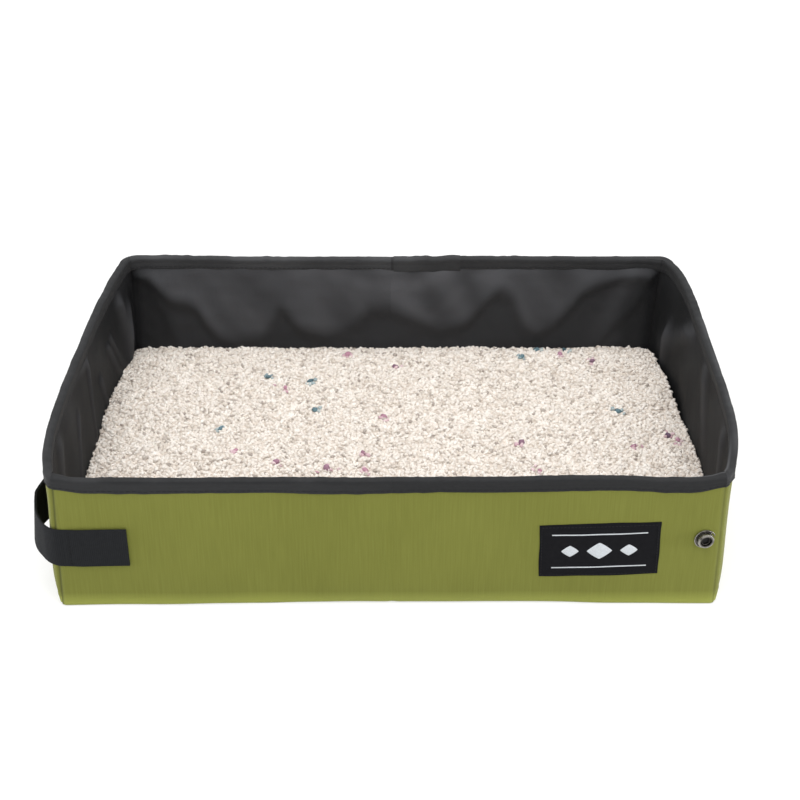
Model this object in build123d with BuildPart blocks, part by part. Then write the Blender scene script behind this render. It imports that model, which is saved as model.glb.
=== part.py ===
"""Foldable litter box of cloth over boards, open and part filled with litter.

Units are millimetres. X runs along the length with the strap at the left end, Y from the
front wall to the back wall, and Z up. The origin is on the floor, in the middle of the box.

The soft end walls fold in over the base, the front and back walls fold flat on top of them, and
the base folds in half across the crease, underside to underside.
"""

import os
from math import cos, radians, sin, sqrt

from build123d import *

os.makedirs("parts", exist_ok=True)

# Open box, over its cloth, at the floor
box_length = 480.0
box_width = 350.0
box_height = 110.0
corner_radius = 8.0
crease_x = 2.0

# Soft end walls, which bow outwards most at the rim: shares of the width, then of the bow
left_bow_share = 0.0257
right_bow_share = 0.0514
foot_bow_share = 0.6
shoulder_share = 0.6
flat_drop_share = 0.15

# Layers of cloth, board and foam
cover_thickness = 0.8
liner_thickness = 0.6
wall_board_thickness = 2.5
base_board_thickness = 3.0
end_foam_thickness = 2.0
tape_thickness = 1.0
webbing_thickness = 1.6

# Clearances
fold_gap = 0.4
soft_gap = 0.25
shank_clearance = 0.1

# Fold lines, seams and edges
fold_height = 14.0
end_fold_height = 6.5
seam_allowance = 2.2
board_margin = 1.0
board_corner = 3.0
liner_turn_up = 4.0
binding_drop = 11.0
binding_round = 2.0
roll_steps = 3

# Litter
litter_depth = 20.0
litter_shoulder = 2.0

# Strap: two sewn ends and the free loop round the left end
strap_width = 33.0
strap_height = 53.2
strap_sewn_length = 44.3
strap_stand_off = 14.5
strap_bow = 3.5
strap_bend_radius = 18.0

# Label
label_length = 87.0
label_height = 45.5
label_thickness = 0.8
label_corner = 1.5
label_from_end = 89.6
label_z = 49.8
label_tilt = 1.8

# Snap fastener: socket on the front wall, stud and cap on the strap
snap_from_seam = 5.3
snap_z = 59.3
snap_flange_radius = 7.8
snap_flange_thickness = 1.0
snap_ring_radius = 5.9
snap_ring_height = 4.2
snap_bore_radius = 4.2
snap_edge_round = 0.5
snap_shank_radius = 2.3
washer_radius = 3.8
washer_thickness = 0.6
stud_share = 0.257
stud_flange_radius = 5.5
stud_flange_thickness = 0.8
stud_post_radius = 3.9
stud_post_height = 3.0
cap_radius = 6.5
cap_thickness = 1.6

# Places worked out from the sizes above
half_length = box_length / 2
half_width = box_width / 2
wall_thickness = cover_thickness + wall_board_thickness + liner_thickness
left_bow = left_bow_share * box_width
right_bow = right_bow_share * box_width
panel_end = half_length - corner_radius - seam_allowance
label_x = half_length - label_from_end
snap_x = panel_end - snap_from_seam
panel_foot = fold_height + fold_gap
floor_top = cover_thickness + base_board_thickness + liner_thickness
end_foot = end_fold_height + soft_gap
webbing_middle = webbing_thickness / 2


class EndPath:
    """Plan of a path that leaves the front face, rounds a soft end and reaches the back face.

    Each half has a corner arc, a shoulder arc and half of a flatter middle arc, all tangent.
    """

    def __init__(self, side: int, reach: float, depth: float, radius: float, bow: float, start: float):
        self.side = side
        self.depth = depth
        self.radius = radius
        self.start = start
        run = depth - radius
        shoulder_y = shoulder_share * run
        drop = flat_drop_share * bow
        self.middle_radius = (shoulder_y**2 + drop**2) / (2 * drop)
        lean = shoulder_y / self.middle_radius
        shoulder_run = run - shoulder_y
        self.shoulder_radius = shoulder_run**2 / (2 * (bow - drop - lean * shoulder_run))
        self.middle = Vector(reach + bow - self.middle_radius, 0)
        self.lean = Vector(sqrt(1 - lean**2), lean)
        self.shoulder = self.middle + self.lean * (self.middle_radius - self.shoulder_radius)
        across_gap = (self.shoulder_radius - radius) ** 2 - (run - self.shoulder.Y) ** 2
        self.corner = Vector(self.shoulder.X + sqrt(across_gap), run)
        self.turn = (self.corner - self.shoulder).normalized()

    def x_at(self, y: float) -> float:
        """Distance of the middle arc from the middle of the box, at one place along Y."""
        return self.middle.X + sqrt(self.middle_radius**2 - y**2)

    def draw(self, inset: float, start: float) -> None:
        """Add the path's lines and arcs, set in by an inset, to the outline that is open."""
        flat = self.middle + self.lean * (self.middle_radius - inset)
        bend = self.shoulder + (self.lean + self.turn).normalized() * (self.shoulder_radius - inset)
        turn = self.shoulder + self.turn * (self.shoulder_radius - inset)
        face = self.depth - inset
        for end in (-1, 1):
            Line((self.side * start, end * face), (self.side * self.corner.X, end * face))
            TangentArc(
                (self.side * self.corner.X, end * face),
                (self.side * turn.X, end * turn.Y),
                tangent=(self.side, 0),
            )
            ThreePointArc(
                (self.side * turn.X, end * turn.Y),
                (self.side * bend.X, end * bend.Y),
                (self.side * flat.X, end * flat.Y),
            )
        apex = self.middle.X + self.middle_radius - inset
        ThreePointArc(
            (self.side * flat.X, -flat.Y),
            (self.side * apex, 0),
            (self.side * flat.X, flat.Y),
        )

    def draw_band(self, outer: float, inner: float) -> None:
        """Face of a strip between two insets of the path, in the sketch that is open."""
        with BuildLine() as outline:
            self.draw(outer, self.start)
            self.draw(inner, self.start)
            for end in (-1, 1):
                Line(
                    (self.side * self.start, end * (self.depth - outer)),
                    (self.side * self.start, end * (self.depth - inner)),
                )
        make_face(outline.line)

    def draw_filled(self, inset: float, start: float) -> None:
        """Face from a line across the box out to the path, in the sketch that is open."""
        face = self.depth - inset
        with BuildLine() as outline:
            self.draw(inset, start)
            Line((self.side * start, -face), (self.side * start, face))
        make_face(outline.line)


def end_path(side: int, level: float) -> EndPath:
    """Outer face of a soft end wall at one height."""
    rim_bow = right_bow if side > 0 else left_bow
    bow = rim_bow * (foot_bow_share + (1 - foot_bow_share) * level / box_height)
    return EndPath(side, half_length, half_width, corner_radius, bow, panel_end + fold_gap)


def loft_band(side: int, sections: list[tuple[float, float, float]], mode: Mode = Mode.ADD) -> None:
    """Strip of an end wall through sections of outer inset, inner inset and height."""
    faces = []
    for outer, inner, level in sections:
        with BuildSketch(Plane.XY.offset(level)) as section:
            end_path(side, level).draw_band(outer, inner)
        faces.append(section.sketch)
    loft(faces, ruled=True, mode=mode)


def loft_filled(side: int, sections: list[tuple[float, float]]) -> None:
    """Solid from the crease out to an end wall, through sections of inset and height."""
    faces = []
    for inset, level in sections:
        with BuildSketch(Plane.XY.offset(level)) as section:
            end_path(side, level).draw_filled(inset, side * crease_x + fold_gap / 2)
        faces.append(section.sketch)
    loft(faces, ruled=True)


def upright_band(side: int, outer: float, inner: float) -> None:
    """Layer of an end wall from its foot to the rim."""
    loft_band(side, [(outer, inner, end_foot), (outer, inner, box_height)])


def finish(piece: BuildPart, name: str) -> None:
    """Label a finished piece and write it."""
    piece.part.label = name
    export_step(piece.part, f"parts/{name}.step")


def across(side: int, near: float, far: float) -> tuple[float, float]:
    """Middle and length along X of a stretch of one half, counted from the crease and the origin."""
    start = crease_x + side * near
    end = side * far
    return (start + end) / 2, abs(end - start)


def wall_panel(side: int, face: int, depth: float, thickness: float, margin: float, corner: float) -> None:
    """Upright layer of a wall half, with its outer surface at a depth inside the cover's."""
    middle, length = across(side, fold_gap / 2 + margin, panel_end - margin)
    foot = panel_foot + margin
    height = box_height - margin - foot
    outer = Plane(
        origin=(middle, face * (half_width - depth), foot + height / 2),
        x_dir=(1, 0, 0),
        z_dir=(0, -face, 0),
    )
    with BuildSketch(outer) as layer:
        if corner:
            RectangleRounded(length, height, corner)
        else:
            Rectangle(length, height)
    extrude(layer.sketch, amount=thickness)


def snap_plane(depth: float) -> Plane:
    """Plane across the snap's axis, at a depth behind the front face, looking out."""
    return Plane(origin=(snap_x, depth - half_width, snap_z), x_dir=(1, 0, 0), z_dir=(0, -1, 0))


# Front and back walls: cover, board, liner and binding of each half
for side, side_name in ((1, "right"), (-1, "left")):
    for face, face_name in ((-1, "front"), (1, "back")):
        wall = f"{face_name}_{side_name}"
        holds_snap = wall == "front_right"

        with BuildPart() as wall_cover:
            wall_panel(side, face, 0, cover_thickness, 0, 0)
            if holds_snap:
                with BuildSketch(snap_plane(0)):
                    Circle(snap_shank_radius + shank_clearance)
                extrude(amount=-cover_thickness, mode=Mode.SUBTRACT)
        finish(wall_cover, f"{wall}_cover")

        with BuildPart() as wall_board:
            wall_panel(side, face, cover_thickness, wall_board_thickness, board_margin, board_corner)
            if holds_snap:
                with BuildSketch(snap_plane(cover_thickness)):
                    Circle(snap_shank_radius + shank_clearance)
                extrude(amount=-wall_board_thickness, mode=Mode.SUBTRACT)
                with BuildSketch(snap_plane(cover_thickness + wall_board_thickness)):
                    Circle(washer_radius + shank_clearance)
                extrude(amount=washer_thickness, mode=Mode.SUBTRACT)
        finish(wall_board, f"{wall}_board")

        with BuildPart() as wall_liner:
            wall_panel(side, face, cover_thickness + wall_board_thickness, liner_thickness, 0, 0)
        finish(wall_liner, f"{wall}_liner")

        # Tape folded over the rim: a channel along X with a rolled top
        middle, length = across(side, fold_gap / 2, panel_end)
        channel_middle = face * (half_width - wall_thickness / 2)
        channel_plane = Plane(
            origin=(middle - length / 2, channel_middle, box_height),
            x_dir=(0, 1, 0),
            z_dir=(1, 0, 0),
        )
        with BuildPart() as wall_binding:
            with BuildSketch(channel_plane) as channel:
                with Locations((0, (tape_thickness - binding_drop) / 2)):
                    Rectangle(wall_thickness + 2 * tape_thickness, tape_thickness + binding_drop)
                fillet(channel.vertices().group_by(Axis.Z)[-1], binding_round)
                with Locations((0, -binding_drop / 2)):
                    Rectangle(wall_thickness, binding_drop, mode=Mode.SUBTRACT)
            extrude(amount=length)
        finish(wall_binding, f"{wall}_binding")

# Soft end walls: cover, foam, liner and binding
foam_inset = cover_thickness + soft_gap
liner_inset = foam_inset + end_foam_thickness + soft_gap
end_inner = liner_inset + liner_thickness
for side, side_name in ((1, "right"), (-1, "left")):
    with BuildPart() as end_cover:
        upright_band(side, 0, cover_thickness)
    finish(end_cover, f"{side_name}_end_cover")

    with BuildPart() as end_foam:
        upright_band(side, foam_inset, foam_inset + end_foam_thickness)
    finish(end_foam, f"{side_name}_end_foam")

    with BuildPart() as end_liner:
        upright_band(side, liner_inset, end_inner)
    finish(end_liner, f"{side_name}_end_liner")

    # Tape over the soft rim: sides, then a top rolled over in steps, less the slot for the wall
    tape_foot = box_height - binding_drop
    tape_top = box_height + tape_thickness
    tape_outer = -tape_thickness
    tape_inner = end_inner + tape_thickness
    roll = [(tape_outer, tape_inner, tape_foot)]
    for step in range(roll_steps + 1):
        angle = radians(90 * step / roll_steps)
        drawn_in = binding_round * (1 - cos(angle))
        level = tape_top - binding_round * (1 - sin(angle))
        roll.append((tape_outer + drawn_in, tape_inner - drawn_in, level))
    slot_top = box_height + soft_gap / 2
    with BuildPart() as end_binding:
        loft_band(side, roll)
        loft_band(
            side,
            [(-soft_gap, end_inner + soft_gap, tape_foot), (-soft_gap, end_inner + soft_gap, slot_top)],
            Mode.SUBTRACT,
        )
    finish(end_binding, f"{side_name}_end_binding")

# Base: cover with its turned-up hems, board, and floor liner with its turned-up edges
for side, side_name in ((1, "right"), (-1, "left")):
    hem_middle, hem_length = across(side, fold_gap / 2, panel_end)
    with BuildPart() as base_cover:
        with BuildSketch():
            end_path(side, 0).draw_filled(0, side * crease_x + fold_gap / 2)
        extrude(amount=cover_thickness)
        with BuildSketch(Plane.XY.offset(cover_thickness)):
            for face in (-1, 1):
                with Locations((hem_middle, face * (half_width - cover_thickness / 2))):
                    Rectangle(hem_length, cover_thickness)
        extrude(amount=fold_height - shank_clearance - cover_thickness)
        with BuildSketch(Plane.XY.offset(cover_thickness)):
            end_path(side, 0).draw_band(0, cover_thickness)
        extrude(amount=end_fold_height - shank_clearance - cover_thickness)
    finish(base_cover, f"base_{side_name}_cover")

    floor_edge = end_inner + soft_gap
    floor_middle, floor_length = across(side, fold_gap / 2 + board_margin, half_length - floor_edge)
    floor_depth = box_width - 2 * floor_edge
    with BuildPart() as base_board:
        with BuildSketch(Plane.XY.offset(cover_thickness)) as board_plan:
            with Locations((floor_middle, 0)):
                Rectangle(floor_length, floor_depth)
            fillet(board_plan.vertices(), corner_radius - floor_edge)
        extrude(amount=base_board_thickness)
    finish(base_board, f"base_{side_name}_board")

    with BuildPart() as floor_liner:
        with BuildSketch(Plane.XY.offset(cover_thickness + base_board_thickness)):
            end_path(side, 0).draw_filled(floor_edge, side * crease_x + fold_gap / 2)
        extrude(amount=liner_thickness)
        with BuildSketch(Plane.XY.offset(floor_top)):
            for face in (-1, 1):
                with Locations((hem_middle, face * (floor_depth - liner_thickness) / 2)):
                    Rectangle(hem_length, liner_thickness)
        extrude(amount=liner_turn_up)
    finish(floor_liner, f"floor_liner_{side_name}")

# Litter: one level layer with a worn shoulder, parted at the crease
litter_edge = floor_edge + liner_thickness + soft_gap
litter_foot = floor_top + soft_gap
litter_top = litter_foot + litter_depth
for side, side_name in ((1, "right"), (-1, "left")):
    with BuildPart() as litter:
        loft_filled(
            side,
            [
                (litter_edge, litter_foot),
                (litter_edge, litter_top - litter_shoulder),
                (litter_edge + litter_shoulder, litter_top),
            ],
        )
    finish(litter, f"litter_{side_name}")

# Strap: ends sewn flat on the left halves of the front and back walls
sewn_start = panel_end - strap_sewn_length
for face, face_name in ((-1, "front"), (1, "back")):
    with BuildPart() as strap_end:
        with BuildSketch(Plane.XY.offset(strap_height - strap_width / 2)):
            with Locations((-(sewn_start + panel_end) / 2, face * (half_width + webbing_middle))):
                Rectangle(strap_sewn_length, webbing_thickness)
        extrude(amount=strap_width)
    finish(strap_end, f"strap_{face_name}_end")

# Strap: free loop that stands off the left end as a hand hold
strap_path = EndPath(
    -1,
    half_length + strap_stand_off,
    half_width + webbing_middle,
    strap_bend_radius,
    strap_bow,
    panel_end + fold_gap,
)
stud_y = -stud_share * box_width
stud_lean = stud_y / strap_path.middle_radius
stud_out = Vector(-cos(stud_lean), sin(stud_lean), 0)
stud_middle = Vector(-strap_path.x_at(stud_y), stud_y, strap_height)
cap_plane = Plane(origin=stud_middle + stud_out * webbing_middle, x_dir=(0, 0, 1), z_dir=stud_out)
stud_plane = Plane(origin=stud_middle - stud_out * webbing_middle, x_dir=(0, 0, 1), z_dir=-stud_out)

with BuildPart() as handle_strap:
    with BuildSketch(Plane.XY.offset(strap_height - strap_width / 2)):
        strap_path.draw_band(-webbing_middle, webbing_middle)
    extrude(amount=strap_width)
    with BuildSketch(cap_plane):
        Circle(snap_shank_radius + shank_clearance)
    extrude(amount=-2 * webbing_thickness, mode=Mode.SUBTRACT)
finish(handle_strap, "handle_strap")

# Snap cap outside the strap, with the shank that holds the stud
with BuildPart() as snap_cap:
    with BuildSketch(cap_plane.offset(shank_clearance)):
        Circle(cap_radius)
    extrude(amount=cap_thickness)
    fillet(snap_cap.faces().sort_by(Axis.X)[0].edges(), snap_flange_thickness)
    with BuildSketch(cap_plane.offset(shank_clearance)):
        Circle(snap_shank_radius)
    extrude(amount=-webbing_thickness - shank_clearance)
finish(snap_cap, "snap_cap")

# Snap stud inside the strap, which enters the socket when the packet is closed
with BuildPart() as snap_stud:
    with BuildSketch(stud_plane.offset(shank_clearance)):
        Circle(stud_flange_radius)
    extrude(amount=stud_flange_thickness)
    with BuildSketch(stud_plane.offset(shank_clearance + stud_flange_thickness)):
        Circle(stud_post_radius)
    extrude(amount=stud_post_height)
    fillet(snap_stud.faces().sort_by(Axis.X)[-1].edges(), snap_edge_round)
finish(snap_stud, "snap_stud")

# Snap socket: flange, spring ring and shank, turned about the snap's axis
with BuildPart() as snap_socket:
    shank_depth = cover_thickness + wall_board_thickness
    with BuildSketch(Plane(origin=(snap_x, -half_width, snap_z), x_dir=(1, 0, 0), z_dir=(0, 0, 1))) as profile:
        with BuildLine():
            Polyline(
                (0, shank_depth),
                (snap_shank_radius, shank_depth),
                (snap_shank_radius, 0),
                (snap_flange_radius, 0),
                (snap_flange_radius, -snap_flange_thickness / 2),
                (snap_ring_radius, -snap_flange_thickness),
                (snap_ring_radius, -snap_ring_height),
                (snap_bore_radius, -snap_ring_height),
                (snap_bore_radius, -snap_flange_thickness),
                (0, -snap_flange_thickness),
                close=True,
            )
        make_face()
        fillet(profile.vertices().group_by(Axis.Y)[0], snap_edge_round)
    revolve(axis=Axis((snap_x, -half_width, snap_z), (0, 1, 0)))
finish(snap_socket, "snap_socket")

# Washer that clinches the socket from inside the wall
with BuildPart() as snap_washer:
    with BuildSketch(snap_plane(cover_thickness + wall_board_thickness)):
        Circle(washer_radius)
        Circle(snap_shank_radius + shank_clearance, mode=Mode.SUBTRACT)
    extrude(amount=washer_thickness)
finish(snap_washer, "snap_washer")

# Woven label, sewn on a little askew
with BuildPart() as label:
    tilt = radians(label_tilt)
    with BuildSketch(
        Plane(origin=(label_x, -half_width, label_z), x_dir=(cos(tilt), 0, sin(tilt)), z_dir=(0, -1, 0))
    ):
        RectangleRounded(label_length, label_height, label_corner)
    extrude(amount=label_thickness)
finish(label, "label")
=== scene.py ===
"""Foldable cloth litter box: cloth, tape, webbing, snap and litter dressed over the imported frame.

Lengths are metres. X runs along the box with the strap at the left end, Y from the front wall to
the back wall, and Z up. The origin is on the floor, in the middle of the box.
"""

import logging
from dataclasses import dataclass
from enum import Enum
from math import cos, pi, radians, sin
from typing import Any, Callable

import bpy
import numpy as np
from mathutils import Matrix, Vector

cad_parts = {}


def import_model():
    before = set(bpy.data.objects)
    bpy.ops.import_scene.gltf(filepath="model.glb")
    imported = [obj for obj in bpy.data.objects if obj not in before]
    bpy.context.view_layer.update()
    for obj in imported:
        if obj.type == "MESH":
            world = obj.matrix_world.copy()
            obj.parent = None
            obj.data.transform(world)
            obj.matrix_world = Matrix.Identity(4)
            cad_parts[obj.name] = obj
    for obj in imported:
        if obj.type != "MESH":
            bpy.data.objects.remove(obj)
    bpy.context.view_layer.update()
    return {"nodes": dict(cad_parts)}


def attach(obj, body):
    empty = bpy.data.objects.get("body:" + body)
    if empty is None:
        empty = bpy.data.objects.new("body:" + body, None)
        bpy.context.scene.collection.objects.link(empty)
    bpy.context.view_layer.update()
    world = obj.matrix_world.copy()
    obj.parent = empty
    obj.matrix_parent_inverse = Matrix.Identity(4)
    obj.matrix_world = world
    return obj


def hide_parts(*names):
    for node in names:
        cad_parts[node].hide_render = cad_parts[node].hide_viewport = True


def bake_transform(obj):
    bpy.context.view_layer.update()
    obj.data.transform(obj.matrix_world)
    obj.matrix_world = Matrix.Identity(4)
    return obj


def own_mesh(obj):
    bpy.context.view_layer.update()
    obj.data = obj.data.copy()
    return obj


log = logging.getLogger("litter_box")

Array = np.ndarray
Row = tuple[float, ...]
Point = tuple[float, float, float]
Colour = Point
Socket = Any
Piece = bpy.types.Object
Finish = bpy.types.Material
Push = Callable[[Array, Array], Array]


class Named(Enum):
    """Choice whose word goes into the names of pieces."""

    @property
    def label(self) -> str:
        """Word that the piece's name uses."""
        return self.name.lower()


class Side(Named):
    """End of the box that a piece belongs to."""

    LEFT = -1
    RIGHT = 1


class Face(Named):
    """Stiff wall that a piece belongs to."""

    FRONT = -1
    BACK = 1


# Finishes


class Graph:
    """Node tree of one finish or of the surround, with short calls for the nodes that they share."""

    def __init__(self, name: str, world: bool = False) -> None:
        """Start a tree with a shader of its own.

        Args:
            name: Name of the material or of the world.
            world: Whether the tree is a world's.
        """
        self.owner = (bpy.data.worlds if world else bpy.data.materials).new(name)
        self.owner.use_nodes = True
        self.tree = self.owner.node_tree
        self.shader = self.tree.nodes["Background" if world else "Principled BSDF"]

    def add(self, kind: str, **settings: Any) -> Any:
        """Add one node.

        Args:
            kind: Type of the node, without its common prefix.
            **settings: Properties to set on the node.

        Returns:
            The new node.
        """
        node = self.tree.nodes.new("ShaderNode" + kind)
        for key, value in settings.items():
            setattr(node, key, value)
        return node

    def feed(self, node: Any, **values: Any) -> None:
        """Set or link inputs of a node, named with underscores for spaces."""
        for key, value in values.items():
            self.plug(node.inputs[key.replace("_", " ")], value)

    def plug(self, target: Socket, value: Any) -> None:
        """Link a socket to an input, or set the input to a plain value.

        Args:
            target: The input.
            value: A socket, a number, a vector or a colour.
        """
        if isinstance(value, bpy.types.NodeSocket):
            self.tree.links.new(value, target)
        elif isinstance(value, tuple) and len(value) == 3 and target.type == "RGBA":
            target.default_value = (*value, 1)
        else:
            target.default_value = value

    def place(self) -> Socket:
        """Object coordinates, in metres."""
        return self.add("TexCoord").outputs["Object"]

    def cloth_map(self) -> Socket:
        """The piece's own map, whose units are metres along and across the cloth."""
        return self.add("UVMap", uv_map="cloth").outputs["UV"]

    def cloth_place(self) -> tuple[Socket, Socket]:
        """Distances along and across the cloth.

        Returns:
            The two parts of the piece's own map.
        """
        parts = self.add("SeparateXYZ")
        self.plug(parts.inputs[0], self.cloth_map())
        return parts.outputs[0], parts.outputs[1]

    def kept(self, name: str = "tone") -> Socket:
        """Share from 0 to 1 that the piece keeps for each of its points."""
        return self.add("Attribute", attribute_name=name).outputs["Fac"]

    def math(self, operation: str, *values: Any) -> Socket:
        """One arithmetic step.

        Args:
            operation: Name of the operation.
            *values: Sockets or numbers that it works on.

        Returns:
            The value that comes out.
        """
        node = self.add("Math", operation=operation)
        for target, value in zip(node.inputs, values):
            self.plug(target, value)
        return node.outputs[0]

    def weighed(self, first: Socket, share: float, second: Socket, rest: float) -> Socket:
        """Sum of two values, each times a number of its own."""
        return self.math("ADD", self.math("MULTIPLY", first, share), self.math("MULTIPLY", second, rest))

    def arches(self, value: Socket) -> Socket:
        """Row of arches from 0 to 1, one for each whole step of a value."""
        return self.math("SINE", self.math("MULTIPLY", self.math("FRACT", value), pi))

    def spread(self, value: Socket, start: tuple[float, float], end: tuple[float, float]) -> Socket:
        """Move a value from one range to another.

        Args:
            value: The value.
            start: Range that it has, past which it is held.
            end: Range that it gets.

        Returns:
            The moved value.
        """
        node = self.add("MapRange")
        self.feed(node, Value=value, From_Min=start[0], From_Max=start[1], To_Min=end[0], To_Max=end[1])
        return node.outputs[0]

    def stretched(self, vector: Socket, scale: Colour) -> Socket:
        """Scale coordinates.

        Args:
            vector: The coordinates.
            scale: Factor along each axis.

        Returns:
            The scaled coordinates.
        """
        node = self.add("Mapping", vector_type="POINT")
        self.feed(node, Vector=vector, Scale=Vector(scale))
        return node.outputs[0]

    def noise(self, vector: Socket, scale: float, detail: float = 3, rough: float = 0.5) -> Socket:
        """Soft noise.

        Args:
            vector: Coordinates that it is laid over.
            scale: Number of blotches to one unit of the coordinates.
            detail: How many finer layers it has.
            rough: Share that each finer layer keeps.

        Returns:
            Values from 0 to 1.
        """
        node = self.add("TexNoise")
        self.feed(node, Vector=vector, Scale=scale, Detail=detail, Roughness=rough)
        return node.outputs[0]

    def ramp(self, value: Socket, *stops: tuple[float, Colour]) -> Socket:
        """Colour that changes between stops.

        Args:
            value: Value that picks the colour.
            *stops: Each a position and a colour, in order.

        Returns:
            The colour.
        """
        node = self.add("ValToRGB")
        node.color_ramp.elements[1].position = stops[-1][0]
        for position, _ in stops[1:-1]:
            node.color_ramp.elements.new(position)
        for element, (position, colour) in zip(node.color_ramp.elements, stops):
            element.position = position
            element.color = (*colour, 1)
        self.plug(node.inputs[0], value)
        return node.outputs[0]

    def mix(self, share: Any, first: Any, second: Any, blend: str = "MIX") -> Socket:
        """Mix two colours.

        Args:
            share: Share of the second.
            first: Colour at share 0.
            second: Colour at share 1.
            blend: Name of the way they mix.

        Returns:
            The mixed colour.
        """
        node = self.add("Mix", data_type="RGBA", blend_type=blend)
        for index, value in ((0, share), (6, first), (7, second)):
            self.plug(node.inputs[index], value)
        return node.outputs[2]

    def bump(
        self, height: Socket, distance: float, strength: float = 1, below: Socket | None = None
    ) -> Socket:
        """Normal of a fine relief.

        Args:
            height: Relief from 0 to 1.
            distance: Depth of the relief in metres.
            strength: Share of the relief that shows.
            below: Normal that the relief lies on.

        Returns:
            The normal.
        """
        node = self.add("Bump")
        self.feed(node, Height=height, Distance=distance, Strength=strength)
        if below is not None:
            self.plug(node.inputs["Normal"], below)
        return node.outputs[0]

    def brick_weave(self, warp: float, weft: float) -> Socket:
        """Plain weave of small pillows, each row set half a thread along.

        Args:
            warp: Width of one warp thread in metres.
            weft: Width of one weft thread in metres.

        Returns:
            Relief from 0 to 1.
        """
        along, across = self.cloth_place()
        row = self.math("DIVIDE", across, weft)
        shift = self.math("MULTIPLY", self.math("FLOOR", row), 0.5)
        column = self.math("ADD", self.math("DIVIDE", along, warp), shift)
        return self.math("MULTIPLY", self.arches(column), self.arches(row))

    def surface(self, **values: Any) -> Any:
        """Set the shader's inputs, and give the finished material or world."""
        self.feed(self.shader, **values)
        return self.owner


def scaled(colour: Colour, factor: float) -> Colour:
    """Colour made darker or lighter by a factor, up to full."""
    return tuple(min(1, factor * part) for part in colour)


@dataclass(frozen=True)
class RibbedCloth:
    """Woven polyester of the outside: faint upright streaks, a painted highlight at the foot in place of
    light bounced up from the floor, and painted shade along the seams.
    """

    name: str = "ribbed_green_cloth"
    main: Colour = (0.159, 0.168, 0.026)
    shade: Colour = (0.136, 0.143, 0.020)
    light: Colour = (0.189, 0.200, 0.037)
    # Painted highlight: paler colour at the foot, standing in for light bounced up from the floor
    foot: Colour = (0.325, 0.352, 0.074)
    # Painted shade along the corner seams, mixed in by the tone attribute
    seam_shade_colour: Colour = (0.048, 0.052, 0.008)
    warp: float = 0.00085
    weft: float = 0.00062
    # Height and strength of the painted highlight at the foot
    foot_height: float = 0.012
    foot_share: float = 0.9

    def make(self) -> Finish:
        """Build the material.

        Returns:
            The material.
        """
        g = Graph(self.name)
        weave = g.brick_weave(self.warp, self.weft)
        streaks = g.noise(g.stretched(g.cloth_map(), (900, 30, 1)), 1, 4)
        clouds = g.noise(g.place(), 12, 3)
        tone = g.ramp(streaks, (0.28, self.shade), (0.50, self.main), (0.74, self.light))
        wear_and_highlight = g.mix(0.4, tone, g.ramp(clouds, (0.30, self.shade), (0.70, self.light)))
        # Painted highlight: share of the foot colour, rising towards the floor
        floor_glow = g.spread(g.cloth_place()[1], (self.foot_height, 0.0), (0.0, self.foot_share))
        woven = g.mix(g.math("MULTIPLY", weave, 0.5), wear_and_highlight, self.light)
        relief = g.weighed(weave, 0.85, streaks, 0.3)
        return g.surface(
            Base_Color=g.mix(g.kept(), g.mix(floor_glow, woven, self.foot), self.seam_shade_colour),
            Normal=g.bump(relief, 0.00020, 0.7, g.bump(g.noise(g.place(), 40, 3), 0.0010, 0.3)),
            Roughness=0.8,
            Sheen_Weight=0.15,
            Sheen_Roughness=0.35,
            Specular_IOR_Level=0.25,
        )


@dataclass(frozen=True)
class CoatedLiner:
    """Waterproof liner: thin coated cloth with small crumples and random mottling, and painted highlights
    where its tone attribute marks folds that stand out.
    """

    name: str = "coated_black_liner"
    dark: Colour = (0.0115, 0.0118, 0.0125)
    light: Colour = (0.019, 0.0195, 0.0205)
    # Painted highlight colour of the folds
    painted_highlight: Colour = (0.078, 0.079, 0.085)
    thread: float = 0.0005

    def make(self) -> Finish:
        """Build the material.

        Returns:
            The material.
        """
        g = Graph(self.name)
        weave = g.brick_weave(self.thread, self.thread)
        crumples = g.noise(g.stretched(g.place(), (1, 1, 0.6)), 46, 4, 0.55)
        mottle_and_highlight = g.noise(g.place(), 9, 4)
        return g.surface(
            # The tone attribute mixes in the painted highlight colour on folds that stand out
            Base_Color=g.mix(g.kept(), g.ramp(mottle_and_highlight, (0.30, self.dark), (0.72, self.light)), self.painted_highlight),
            Normal=g.bump(weave, 0.00008, 0.5, g.bump(crumples, 0.0016, 0.5)),
            Roughness=g.spread(mottle_and_highlight, (0.3, 0.7), (0.55, 0.66)),
            Specular_IOR_Level=0.07,
        )


@dataclass(frozen=True)
class WovenTape:
    """Narrow woven tape: diagonal twill or upright ribs, paler where its tone attribute paints highlights.
    """

    name: str
    dark: Colour
    light: Colour
    rib: float
    rows: float
    slant: float = 0
    sheen: float = 0.01
    rough: float = 0.8
    gloss: float = 0.12
    # Factor on the light colour for the painted highlight that the tone attribute mixes in
    wear_and_highlight: float = 4.6

    def make(self) -> Finish:
        """Build the material.

        Returns:
            The material.
        """
        g = Graph(self.name)
        along, across = g.cloth_place()
        lean = g.math("ADD", along, g.math("MULTIPLY", across, self.slant))
        rib = g.arches(g.math("DIVIDE", lean, self.rib))
        relief = g.weighed(rib, 0.65, g.arches(g.math("DIVIDE", across, self.rows)), 0.35)
        blend = g.weighed(relief, 0.6, g.noise(g.place(), 260, 3), 0.5)
        plain = g.ramp(blend, (0.2, self.dark), (0.95, self.light))
        return g.surface(
            Base_Color=g.mix(g.kept(), plain, scaled(self.light, self.wear_and_highlight)),
            Normal=g.bump(relief, 0.00022, 0.7, g.bump(g.noise(g.place(), 60, 2), 0.0008, 0.3)),
            Roughness=self.rough,
            Sheen_Weight=self.sheen,
            Sheen_Roughness=0.4,
            Specular_IOR_Level=self.gloss,
        )


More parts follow.
